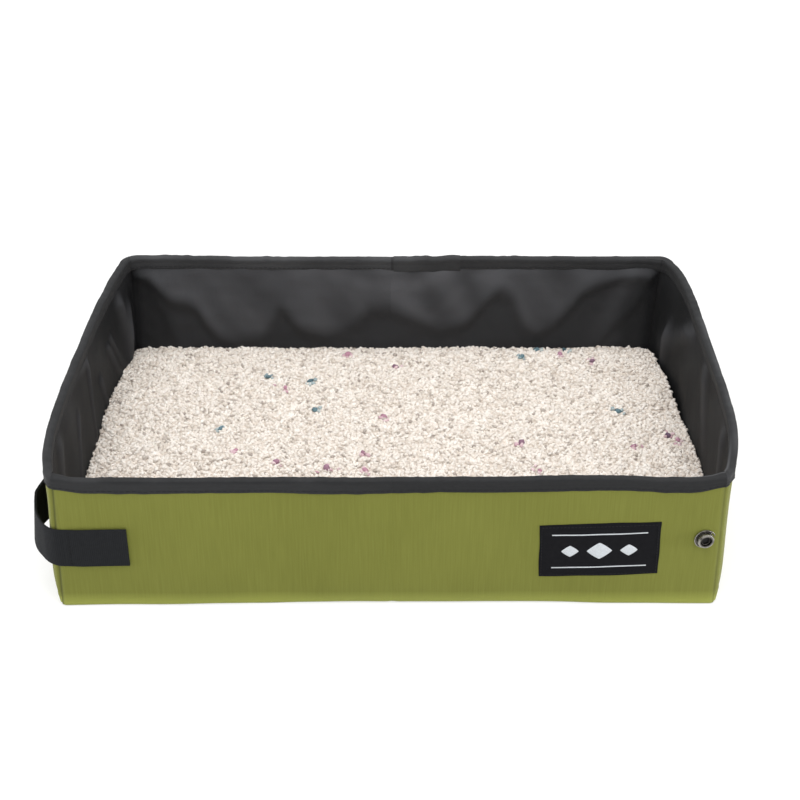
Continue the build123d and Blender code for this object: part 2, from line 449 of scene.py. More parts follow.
@dataclass(frozen=True)
class Thread:
    """Twisted sewing thread."""

    name: str
    colour: Colour
    sheen: float = 0.01

    def make(self) -> Finish:
        """Build the material.

        Returns:
            The material.
        """
        g = Graph(self.name)
        twist = g.noise(g.place(), 2600, 1)
        return g.surface(
            Base_Color=g.mix(twist, scaled(self.colour, 0.6), scaled(self.colour, 1.25)),
            Normal=g.bump(twist, 0.0001, 0.6),
            Roughness=0.75,
            Sheen_Weight=self.sheen,
            Specular_IOR_Level=0.15,
        )


@dataclass(frozen=True)
class Nickel:
    """Plated snap metal with fine scuffs, darker film in random patches, and painted shade in its hollows.
    """

    name: str = "plated_nickel"
    bright: Colour = (0.36, 0.345, 0.32)
    # Darker film, in random patches over the plate and as painted shade in the hollows
    film: Colour = (0.055, 0.05, 0.045)

    def make(self) -> Finish:
        """Build the material.

        Returns:
            The material.
        """
        g = Graph(self.name)
        scuffs = g.noise(g.place(), 700, 4)
        plate = g.ramp(g.noise(g.place(), 260, 3), (0.28, self.film), (0.55, self.bright))
        return g.surface(
            # Painted shade in the bore and the groove, read from a point attribute
            Base_Color=g.mix(g.kept("hollow_shade"), plate, self.film),
            Metallic=1.0,
            Roughness=g.spread(scuffs, (0.3, 0.7), (0.16, 0.38)),
            Normal=g.bump(scuffs, 0.00004, 0.5),
        )


@dataclass(frozen=True)
class Mineral:
    """Dry clay granules, whose tone is kept with each granule."""

    name: str
    stops: tuple[tuple[float, Colour], ...]
    dusty: Colour = (0.80, 0.78, 0.76)
    patchy: Colour = (0.87, 0.855, 0.84)

    def make(self) -> Finish:
        """Build the material.

        Returns:
            The material.
        """
        g = Graph(self.name)
        full = (1, 1, 1)
        dust = g.noise(g.place(), 900, 2)
        grains = g.mix(
            0.4, g.ramp(g.kept(), *self.stops), g.ramp(dust, (0.3, self.dusty), (0.7, full)), "MULTIPLY"
        )
        patches = g.ramp(g.noise(g.place(), 170, 2), (0.36, self.patchy), (0.62, full))
        return g.surface(
            Base_Color=g.mix(1, grains, patches, "MULTIPLY"),
            Normal=g.bump(dust, 0.0003, 0.5),
            Roughness=0.95,
            Specular_IOR_Level=0.2,
        )


@dataclass(frozen=True)
class Sheeting:
    """Flat colour broken by a fine moulded grain: hidden stiffener board or foam, and the dark disc of
    painted shade in the snap's bore.
    """

    name: str
    colour: Colour
    grain: float
    rough: float

    def make(self) -> Finish:
        """Build the material.

        Returns:
            The material.
        """
        g = Graph(self.name)
        grain = g.noise(g.place(), self.grain, 3)
        return g.surface(
            Base_Color=g.mix(grain, scaled(self.colour, 0.75), self.colour),
            Roughness=self.rough,
            Normal=g.bump(grain, 0.0002, 0.5),
        )


class Finishes:
    """All the finishes of the box, each made once."""

    def __init__(self) -> None:
        """Make the materials."""
        self.cloth = RibbedCloth().make()
        self.liner = CoatedLiner().make()
        tape = ((0.0110, 0.0112, 0.0119), (0.0210, 0.0214, 0.0226))
        self.binding = WovenTape("woven_binding", *tape, 0.0011, 0.0007, 0.8, 0.02, 0.7, 0.18).make()
        strap = ((0.0065, 0.007, 0.008), (0.015, 0.016, 0.018))
        self.webbing = WovenTape("ribbed_webbing", *strap, 0.0014, 0.0008).make()
        patch = ((0.004, 0.004, 0.005), (0.010, 0.010, 0.012))
        self.label = WovenTape("woven_label", *patch, 0.0006, 0.0004, 0, 0.0, 0.85, 0.08).make()
        # Near-black disc of painted shade at the floor of the snap's bore
        self.bore_shade = Sheeting("snap_bore_shade", (0.010, 0.009, 0.008), 900, 0.7).make()
        self.motif = Thread("grey_embroidery", (0.58, 0.61, 0.64), 0.1).make()
        self.dark_thread = Thread("charcoal_thread", (0.020, 0.020, 0.022)).make()
        self.black_thread = Thread("black_thread", (0.006, 0.006, 0.0065), 0).make()
        self.nickel = Nickel().make()
        cream = (
            (0.0, (0.42, 0.37, 0.33)), (0.04, (0.58, 0.52, 0.47)), (0.10, (0.76, 0.69, 0.62)),
            (0.32, (0.86, 0.80, 0.735)), (1.0, (0.915, 0.87, 0.82)),
        )
        self.granules = Mineral("cream_granules", cream).make()
        # The bed's darker colour is partly the finer litter's own tone and partly painted shade between the
        # granules
        self.bed = Mineral("fine_litter_bed", ((0.0, (0.60, 0.53, 0.47)), (1.0, (0.80, 0.73, 0.66)))).make()
        blue = ((0.0, (0.07, 0.12, 0.14)), (0.3, (0.16, 0.26, 0.30)), (1.0, (0.62, 0.68, 0.68)))
        self.blue = Mineral("blue_granules", blue).make()
        violet = ((0.0, (0.15, 0.10, 0.15)), (0.3, (0.52, 0.28, 0.36)), (1.0, (0.82, 0.66, 0.68)))
        self.violet = Mineral("violet_granules", violet).make()
        self.board = Sheeting("stiffener_board", (0.12, 0.12, 0.12), 300, 0.6).make()
        self.foam = Sheeting("closed_cell_foam", (0.10, 0.10, 0.10), 900, 0.9).make()


# Shared curves


def clipped(value: Array) -> Array:
    """Values held between 0 and 1."""
    return np.clip(value, 0, 1)


def bell(distance: Array, width: float) -> Array:
    """Bell curve, 1 at no distance and 0.37 at the width."""
    return np.exp(-((distance / width) ** 2))


def unit(rows: Array) -> Array:
    """Rows scaled to a length of 1."""
    return rows / np.linalg.norm(rows, axis=1)[:, None]


def walked(line: Array) -> Array:
    """Distance along a line at each of its points."""
    return np.concatenate([[0], np.cumsum(np.linalg.norm(np.diff(line, axis=0), axis=1))])


def spaced(pace: Array, walk: Array, rows: Array) -> Array:
    """Rows that stand at some distances along a line, read at other distances."""
    return np.stack([np.interp(pace, walk, column) for column in rows.T], 1)


def beside(*columns: Any) -> Array:
    """Coordinates put together, where a plain number fills its whole column."""
    return np.stack(np.broadcast_arrays(*columns), -1)


def smoothed(
    x: Array, places: Row, table: Row, reach: float, count: int = 7
) -> Array:
    """Read a table, averaged over a reach to both sides."""
    return sum(np.interp(x + shift, places, table) for shift in np.linspace(-reach, reach, count)) / count


def ripple(
    along: Array, up: Array, seed: int, length: float, stretch: float = 1, waves: int = 8
) -> Array:
    """Smooth random relief over two coordinates.

    Args:
        along: First coordinate.
        up: Second coordinate.
        seed: Seed of the relief.
        length: Usual distance from crest to crest.
        stretch: How many times longer the relief is along the second coordinate.
        waves: How many plane waves are summed.

    Returns:
        Heights, nearly all from -1 to 1.
    """
    draw = np.random.default_rng(seed)
    total = np.zeros(np.broadcast(along, up).shape)
    for _ in range(waves):
        angle = draw.uniform(0, pi)
        rate = 2 * pi / (length * draw.uniform(0.7, 1.6))
        place = cos(angle) * along + sin(angle) * up / stretch
        total = total + np.sin(rate * place + draw.uniform(0, 2 * pi))
    return total / (1.2 * waves**0.5)


def ridge(
    along: Array, up: Array, start: tuple[float, float], end: tuple[float, float], width: float
) -> Array:
    """Soft crest along a line, 1 on the line and fading at both ends.

    Args:
        along: First coordinate.
        up: Second coordinate.
        start: Where the line starts.
        end: Where it ends.
        width: Half width of the crest.

    Returns:
        Heights from 0 to 1.
    """
    span = np.subtract(end, start)
    share = ((along - start[0]) * span[0] + (up - start[1]) * span[1]) / (span @ span)
    kept = clipped(share)
    off = np.hypot(along - start[0] - kept * span[0], up - start[1] - kept * span[1])
    return bell(off, width) * clipped(1.15 - kept) ** 0.6


# Shared making


def deselect() -> None:
    """Leave nothing selected, so that an operator acts on the new piece alone."""
    if bpy.context.object and bpy.context.object.mode != "OBJECT":
        bpy.ops.object.mode_set(mode="OBJECT")
    bpy.ops.object.select_all(action="DESELECT")


def apply_all(piece: Piece) -> None:
    """Apply the piece's modifiers, with the piece alone selected.

    Args:
        piece: The piece.
    """
    deselect()
    piece.select_set(True)
    bpy.context.view_layer.objects.active = piece
    for modifier in list(piece.modifiers):
        bpy.ops.object.modifier_apply(modifier=modifier.name)


def new_piece(
    name: str,
    points: Array,
    faces: Array,
    maps: Array | None = None,
    tones: Array | None = None,
) -> Piece:
    """Make a smooth-shaded mesh piece.

    Args:
        name: Name of the piece.
        points: Corner places, one row each.
        faces: Corner numbers of each face, one row each.
        maps: Place on the cloth map of each corner.
        tones: Tone of each corner, from 0 to 1, that the finish reads.

    Returns:
        The new object.
    """
    mesh = bpy.data.meshes.new(name)
    count, sides = faces.shape
    mesh.vertices.add(len(points))
    mesh.vertices.foreach_set("co", points.astype(np.float32).ravel())
    mesh.loops.add(count * sides)
    mesh.loops.foreach_set("vertex_index", faces.astype(np.int32).ravel())
    mesh.polygons.add(count)
    mesh.polygons.foreach_set("loop_start", np.arange(0, count * sides, sides, dtype=np.int32))
    mesh.update(calc_edges=True)
    mesh.validate()
    if maps is not None:
        layer = mesh.uv_layers.new(name="cloth")
        layer.data.foreach_set("uv", maps[faces.ravel()].astype(np.float32).ravel())
    if tones is not None:
        layer = mesh.attributes.new("tone", "FLOAT", "POINT")
        layer.data.foreach_set("value", tones.astype(np.float32).ravel())
    mesh.shade_smooth()
    piece = bpy.data.objects.new(name, mesh)
    bpy.context.collection.objects.link(piece)
    return piece


def cloth_sheet(
    name: str,
    points: Array,
    maps: Array,
    facing: Point,
    thickness: float,
    tones: Array | None = None,
) -> Piece:
    """Make a sheet of cloth from a grid of places on its shown face.

    Args:
        name: Name of the piece.
        points: Grid of places, shaped rows by columns by 3.
        maps: Grid of places on the cloth map, shaped rows by columns by 2.
        facing: Direction that the middle of the shown face looks.
        thickness: Thickness, laid behind the shown face.
        tones: Grid of tones from 0 to 1, shaped rows by columns.

    Returns:
        The new object, closed round its edges.
    """
    rows, columns = points.shape[:2]
    index = np.arange(rows * columns).reshape(rows, columns)
    faces = np.stack([index[:-1, :-1], index[:-1, 1:], index[1:, 1:], index[1:, :-1]], -1)
    middle = faces[(rows - 1) // 2, (columns - 1) // 2]
    flat = points.reshape(-1, 3)
    normal = np.cross(flat[middle[1]] - flat[middle[0]], flat[middle[3]] - flat[middle[0]])
    faces = faces.reshape(-1, 4)
    if normal @ np.array(facing) < 0:
        faces = faces[:, ::-1]
    piece = new_piece(name, flat, faces, maps.reshape(-1, 2), tones)
    shell = piece.modifiers.new("thickness", "SOLIDIFY")
    shell.thickness = thickness
    shell.offset = -1
    apply_all(piece)
    bpy.ops.object.shade_smooth_by_angle(angle=radians(55))
    return piece


def copies(name: str, model: Piece, places: Array, tones: Array | None = None) -> Piece:
    """Lay many copies of a small model, as one piece.

    Args:
        name: Name of the piece.
        model: The small piece that is copied, and then deleted by its maker.
        places: One 3 by 4 matrix for each copy.
        tones: One tone for each copy.

    Returns:
        The new object.
    """
    corners = np.array([v.co for v in model.data.vertices])
    faces = np.array([list(p.vertices) for p in model.data.polygons])
    points = np.einsum("nij,kj->nki", places[:, :, :3], corners) + places[:, None, :, 3]
    shift = (np.arange(len(places)) * len(corners))[:, None, None]
    if tones is not None:
        tones = np.repeat(tones, len(corners))
    every = (faces[None] + shift).reshape(-1, faces.shape[1])
    return new_piece(name, points.reshape(-1, 3), every, None, tones)


def paint(piece: Piece, finish: Finish) -> None:
    """Cover a piece with one finish."""
    piece.data.materials.clear()
    piece.data.materials.append(finish)


def dress(piece: Piece, finish: Finish) -> None:
    """Finish a piece and log it.

    Args:
        piece: The piece.
        finish: Its finish.
    """
    paint(piece, finish)
    log.info("%s: %d faces", piece.name, len(piece.data.polygons))


# Form of the box


@dataclass(frozen=True)
class BoxForm:
    """Outer form of the open box, which the cloth, tape and litter all follow.

    Each table holds values at the places named before it: along X from the left for the stiff
    walls, and along Y from the front for the ends.
    """

    half_length: float = 0.240
    half_width: float = 0.175
    height: float = 0.110
    crease: float = 0.002
    wall: float = 0.0039
    corner: float = 0.013
    fold_height: float = 0.014
    end_fold_height: float = 0.0065
    foot_share: float = 0.60
    swell_height: float = 0.030
    front_seams: tuple[tuple[float, float], ...] = ((0.2384, 0.2336), (0.2374, 0.2343))
    back_seams: tuple[tuple[float, float], ...] = ((0.2340, 0.2300), (0.2395, 0.2430))
    corner_pulls: tuple[float, float] = (0.42, 0.24)
    foot_places: Row = (
        -0.170, -0.145, -0.131, -0.104, -0.090, -0.062, -0.034, -0.020, 0.0, 0.030, 0.063, 0.091, 0.133,
        0.150, 0.190, 0.210,
    )
    front_foot: Row = (
        0.0005, 0.0012, 0.0016, 0.0005, 0.0004, 0.0016, 0.0028, 0.0028, 0.0021, 0.0024, 0.0024, 0.0016,
        0.0016, 0.0007, 0.0004, 0,
    )
    rim_places: Row = (
        -0.236, -0.228, -0.220, -0.205, -0.187, -0.168, -0.145, -0.104, -0.062, 0.008, 0.077, 0.119, 0.147,
        0.174, 0.188, 0.212, 0.226, 0.236,
    )
    front_rim: Row = (
        0.0030, 0.0012, 0.0001, -0.0001, -0.0002, -0.0006, -0.0001, -0.0001, -0.0003, -0.0002, -0.0003,
        0.0009, 0.0016, 0.0002, -0.0012, -0.0009, 0.0004, 0.0022,
    )
    back_rim: Row = (
        -0.0012, 0.0001, 0.0004, 0.0006, 0.0006, 0.0001, -0.0007, -0.0009, -0.0014, -0.0017, -0.0006,
        -0.0006, -0.0010, -0.0014, -0.0014, -0.0013, -0.0014, -0.0022,
    )
    foot_reach: float = 0.0065
    bow_places: Row = (
        -0.175, -0.160, -0.148, -0.122, -0.095, -0.040, 0.010, 0.058, 0.094, 0.131, 0.150, 0.175,
    )
    left_bow: Row = (
        -0.004, 0.0012, 0.0046, 0.0076, 0.0090, 0.0090, 0.0072, 0.0060, 0.0038, 0.0008, -0.0014, -0.006,
    )
    right_bow: Row = (
        -0.003, 0.0024, 0.0058, 0.0122, 0.0156, 0.0174, 0.0178, 0.0186, 0.0192, 0.0176, 0.0152, 0.008,
    )
    left_swell: Row = (
        0.0038, 0.0054, 0.0048, 0.0030, 0.0012, 0.0002, 0.0012, 0.0020, 0.0014, -0.0010, -0.0012, 0,
    )
    right_swell: Row = (
        0.0022, 0.0026, 0.0026, 0.0030, 0.0038, 0.0042, 0.0038, 0.0022, 0.0018, 0.0006, -0.0010, 0,
    )

    def bow(self, side: Side, y: Array, level: Array) -> Array:
        """How far an end wall stands out beyond the half length.

        Args:
            side: Which end.
            y: Places along it.
            level: Heights.

        Returns:
            Distances outwards.
        """
        left = side is Side.LEFT
        tables = (self.left_bow, self.left_swell) if left else (self.right_bow, self.right_swell)
        rim, swell = (smoothed(y, self.bow_places, table, 0.018) for table in tables)
        share = clipped(level / self.height)
        rise = level / self.swell_height
        bulge = swell * rise * np.exp(1 - rise) * (1 - share) ** 0.4
        return rim * (self.foot_share + (1 - self.foot_share) * share) + bulge

    def seam(self, side: Side, face: Face, level: Array) -> Array:
        """Distance along X of a corner seam, which leans between the floor and the rim.

        Args:
            side: Which end.
            face: Which stiff wall.
            level: Heights.

        Returns:
            Distances from the middle, all above 0.
        """
        seams = self.front_seams if face is Face.FRONT else self.back_seams
        foot, rim = seams[0 if side is Side.LEFT else 1]
        return foot + (rim - foot) * clipped(level / self.height)

    def turn(self, side: Side, face: Face, level: float, near: Array) -> Array:
        """Rounded corner from a seam to the start of an end's bow, seen as if at the right end.

        Args:
            side: Which end.
            face: Which stiff wall the corner meets.
            level: Height.
            near: First place of the bow.

        Returns:
            Places in plan.
        """
        start = np.array([float(self.seam(side, face, level)), face.value * self.half_width])
        pull = np.array([near[0] + 0.0004, face.value * self.half_width])
        t = np.linspace(0, 1, 24)[:, None]
        share = self.corner_pulls[0 if side is Side.LEFT or face is Face.BACK else 1]
        first, last = start + share * (pull - start), near + share * (pull - near)
        return (1 - t) ** 3 * start + 3 * t * (1 - t) ** 2 * first + 3 * t**2 * (1 - t) * last + t**3 * near

    def end_line(
        self, side: Side, level: float, inset: float, count: int
    ) -> tuple[Array, Array, Array]:
        """Line round a soft end at one height, from the front seam to the back seam.

        Args:
            side: Which end.
            level: Height above the floor.
            inset: How far the line lies inside the outer face.
            count: How many points it has.

        Returns:
            Places, outward normals, and the distance along the outer face.
        """
        edge = self.half_width - self.corner
        y = np.linspace(-edge, edge, 120)
        middle = np.stack([self.half_length + self.bow(side, y, level), y], 1)
        front = self.turn(side, Face.FRONT, level, middle[0])
        back = self.turn(side, Face.BACK, level, middle[-1])
        outline = np.concatenate([front[:-1], middle, back[::-1][1:]])
        walk = walked(outline)
        pace = np.linspace(0, walk[-1], count)
        line = spaced(pace, walk, outline)
        tangent = np.gradient(line, axis=0)
        tangent[0], tangent[-1] = (1, 0), (-1, 0)
        tangent = unit(tangent)
        normal = np.stack([tangent[:, 1], -tangent[:, 0]], 1)
        flip = np.array([side.value, 1])
        return (line - inset * normal) * flip, normal * flip, pace

    def rim_height(self, face: Face, x: Array) -> Array:
        """Height of the cloth's top edge along a stiff wall, which waves between the corners."""
        table = self.front_rim if face is Face.FRONT else self.back_rim
        return self.height + smoothed(x, self.rim_places, table, 0.006)

    def wall_out(self, face: Face, x: Array, z: Array) -> Array:
        """How far the outer cloth of a stiff wall stands out from its flat face.

        Args:
            face: Which wall.
            x: Places along it.
            z: Heights.

        Returns:
            Distances outwards.
        """
        lean = x - self.crease - 0.0012 * np.sin(z / 0.016)
        valley = 0.00055 * bell(lean, 0.0026)
        belly = 0.0006 * np.sin(pi * clipped(z / self.height))
        soft = 0.0005 * ripple(x, z, 11 + face.value, 0.110, 1.4)
        low = np.exp(-z / self.foot_reach)
        flare = (0.0002 + 0.0013 * (x / self.half_length) ** 2) * low
        return belly + soft + flare - valley - self.foot_in(face, x) * low

    def wall_rim(self, face: Face, x: Array) -> Array:
        """Plan of a stiff wall's outer face under the rim tape, one row for each place."""
        out = 0.6 * self.wall_out(face, x, np.full(len(x), 0.1))
        return np.column_stack([x, face.value * (self.half_width + out)])

    def foot_in(self, face: Face, x: Array) -> Array:
        """How far the foot of a stiff wall is drawn in under the box."""
        table = self.front_foot if face is Face.FRONT else self.front_foot[::-1]
        return smoothed(x, self.foot_places, table, 0.010)


@dataclass
class Body:
    """The form, the finishes and the record's names that every sub-assembly works from."""

    form: BoxForm
    finishes: Finishes
    nodes: dict[str, Piece]
    folded_share: float = 0.08

    def wall(self, face: Face, side: Side) -> str:
        """Body of one half of a stiff wall."""
        return f"{face.label}_{side.label}"

    def base(self, side: Side) -> str:
        """Body of one half of the base."""
        return f"base_{side.label}"

    def fold_joint(self, face: Face, side: Side) -> str:
        """Joint between the base and one half of a stiff wall."""
        return "fold" if self.wall(face, side) == "front_right" else f"{self.wall(face, side)}_fold"

    def bend_at_fold(self, piece: Piece, face: Face, side: Side) -> None:
        """Bake the cloth's placement into its mesh; it is not carried by a body or bent at the fold.

        Args:
            piece: The cloth.
            face: Which wall.
            side: Which half.
        """
        self.wall(face, side)
        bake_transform(piece)

    def fold_end(self, piece: Piece, side: Side) -> None:
        """Carry a soft end's layer on the end's body, with a mesh of its own.

        Args:
            piece: The layer.
            side: Which end.
        """
        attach(piece, f"{side.label}_end")
        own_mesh(piece)


@dataclass
class StitchMaker:
    """Running stitches: one short capsule of thread, laid many times along a line."""

    length: float = 0.0030
    radius: float = 0.00024
    pitch: float = 0.0042
    near: float = 0.0005

    def model(self) -> Piece:
        """Model one stitch along X, with drawn-in ends.

        Returns:
            The stitch, at the origin.
        """
        deselect()
        bpy.ops.mesh.primitive_cylinder_add(
            vertices=6, radius=self.radius, depth=self.length * 0.8, rotation=(0, pi / 2, 0)
        )
        stitch = bpy.context.object
        bpy.ops.object.transform_apply(location=True, rotation=True, scale=True)
        bpy.ops.object.mode_set(mode="EDIT")
        bpy.ops.mesh.select_mode(type="FACE")
        for end in (-1, 1):
            bpy.ops.mesh.select_all(action="DESELECT")
            bpy.ops.object.mode_set(mode="OBJECT")
            for polygon in stitch.data.polygons:
                polygon.select = polygon.normal.x * end > 0.9
            bpy.ops.object.mode_set(mode="EDIT")
            tip = (end * self.length * 0.1, 0, 0)
            bpy.ops.mesh.extrude_region_move(TRANSFORM_OT_translate={"value": tip})
            bpy.ops.transform.resize(value=(1, 0.35, 0.35))
        bpy.ops.mesh.select_all(action="SELECT")
        bpy.ops.mesh.quads_convert_to_tris()
        bpy.ops.mesh.poke()
        bpy.ops.mesh.quads_convert_to_tris()
        bpy.ops.object.mode_set(mode="OBJECT")
        return stitch

    def along(self, name: str, line: Array, normals: Array) -> Piece:
        """Sew stitches along a line.

        Args:
            name: Name of the piece.
            line: Places along the seam, one row each.
            normals: Directions out of the cloth at those places.

        Returns:
            All the stitches as one piece.
        """
        walk = walked(line)
        count = max(2, int(walk[-1] / self.pitch))
        pace = (np.arange(count) + 0.5) * walk[-1] / count
        spots, out = spaced(pace, walk, line), spaced(pace, walk, normals)
        x = unit(spaced(pace + self.near, walk, line) - spaced(pace - self.near, walk, line))
        z = unit(out - np.sum(out * x, 1)[:, None] * x)
        model = self.model()
        piece = copies(name, model, np.stack([x, np.cross(z, x), z, spots], 2))
        bpy.data.objects.remove(model)
        return piece


# Stiff walls


@dataclass(frozen=True)
class Drape:
    """Slack liner hung from a rim: it swells down to a lower edge and is tucked back below it."""

    edge: tuple[tuple[float, float], ...]
    depth: float
    tuck: float = 0.015
    kept: float = 0.28
    spread: float = 0.0035

    def low(self, x: Array) -> Array:
        """Height of the lower edge at places along the wall."""
        places, heights = np.array(self.edge).T
        return np.interp(x, places, heights)

    def push(self, x: Array, z: Array, top: float) -> Array:
        """How far the drape stands off the wall.

        Args:
            x: Distance along the wall from the crease, towards the seam.
            z: Height.
            top: Height that it hangs from.

        Returns:
            Distances inwards.
        """
        total = np.zeros(np.broadcast(x, z).shape)
        shifts = np.linspace(-self.spread, self.spread, 9)
        for shift in shifts:
            low, level = self.low(x + shift), z + 1.2 * shift
            rise = clipped((top - level) / np.maximum(top - low, 0.012))
            under = clipped((low - level) / self.tuck)
            fall = 1 - (1 - self.kept) * under**2 * (3 - 2 * under)
            total += np.where(level >= low, rise, fall)
        return self.depth * total / len(shifts)

    def painted_highlight(self, x: Array, z: Array) -> Array:
        """Share of the painted highlight: most just above the lower edge and over it, none under it."""
        shifts = np.linspace(-0.004, 0.004, 9)
        return sum(clipped((z - self.low(x + s)) / 0.013 + 0.35) for s in shifts) / len(shifts)


BACK_LEFT_DRAPES = (
    Drape(
        (
            (-0.010, 0.063), (0.006, 0.064), (0.019, 0.063), (0.030, 0.051), (0.043, 0.041), (0.061, 0.037),
            (0.077, 0.041), (0.088, 0.049), (0.095, 0.062), (0.100, 0.067), (0.106, 0.051), (0.117, 0.035),
            (0.130, 0.033), (0.144, 0.030), (0.157, 0.035), (0.168, 0.049), (0.173, 0.063), (0.184, 0.069),
            (0.197, 0.071), (0.206, 0.080), (0.217, 0.098),
        ),
        0.0048,
    ),
    Drape(
        ((0.188, 0.016), (0.194, 0.024), (0.200, 0.041), (0.207, 0.062), (0.215, 0.084), (0.222, 0.098)),
        0.0020,
    ),
)
BACK_RIGHT_DRAPES = (
    Drape(
        (
            (-0.010, 0.064), (0.004, 0.061), (0.016, 0.055), (0.028, 0.049), (0.048, 0.043), (0.068, 0.049),
            (0.079, 0.062), (0.090, 0.077), (0.099, 0.083), (0.110, 0.075), (0.116, 0.059), (0.121, 0.046),
            (0.132, 0.038), (0.150, 0.049), (0.163, 0.067), (0.172, 0.080), (0.184, 0.087), (0.208, 0.097),
        ),
        0.0048,
    ),
    Drape(
        ((0.184, 0.016), (0.189, 0.027), (0.206, 0.051), (0.217, 0.060), (0.224, 0.074), (0.232, 0.097)),
        0.0020,
    ),
)
# Painted highlight streaks of the back liner: where each begins and stops along the wall and in
# height, its width and its share of the painted highlight
BACK_LEFT_HIGHLIGHT_STREAKS = (
    ((0.213, 0.097), (0.192, 0.046), 0.0060, 0.14), ((0.150, 0.072), (0.132, 0.044), 0.0050, 0.16),
    ((0.110, 0.092), (0.098, 0.080), 0.0080, 0.16), ((0.050, 0.096), (0.026, 0.086), 0.0080, 0.26),
    ((0.026, 0.086), (0.000, 0.080), 0.0080, 0.40),
)
BACK_RIGHT_HIGHLIGHT_STREAKS = (
    ((0.216, 0.099), (0.190, 0.034), 0.0085, 0.34), ((0.000, 0.080), (0.026, 0.084), 0.0080, 0.42),
    ((0.026, 0.086), (0.062, 0.101), 0.0075, 0.46), ((0.064, 0.080), (0.036, 0.052), 0.0055, 0.16),
    ((0.078, 0.090), (0.086, 0.068), 0.0080, 0.26), ((0.206, 0.030), (0.196, 0.020), 0.0060, 0.18),
)
FRONT_DRAPES = (
    Drape(
        (
            (-0.010, 0.060), (0.030, 0.040), (0.060, 0.036), (0.090, 0.056), (0.104, 0.070), (0.120, 0.046),
            (0.150, 0.030), (0.180, 0.044), (0.200, 0.074), (0.215, 0.098),
        ),
        0.0040,
    ),
)


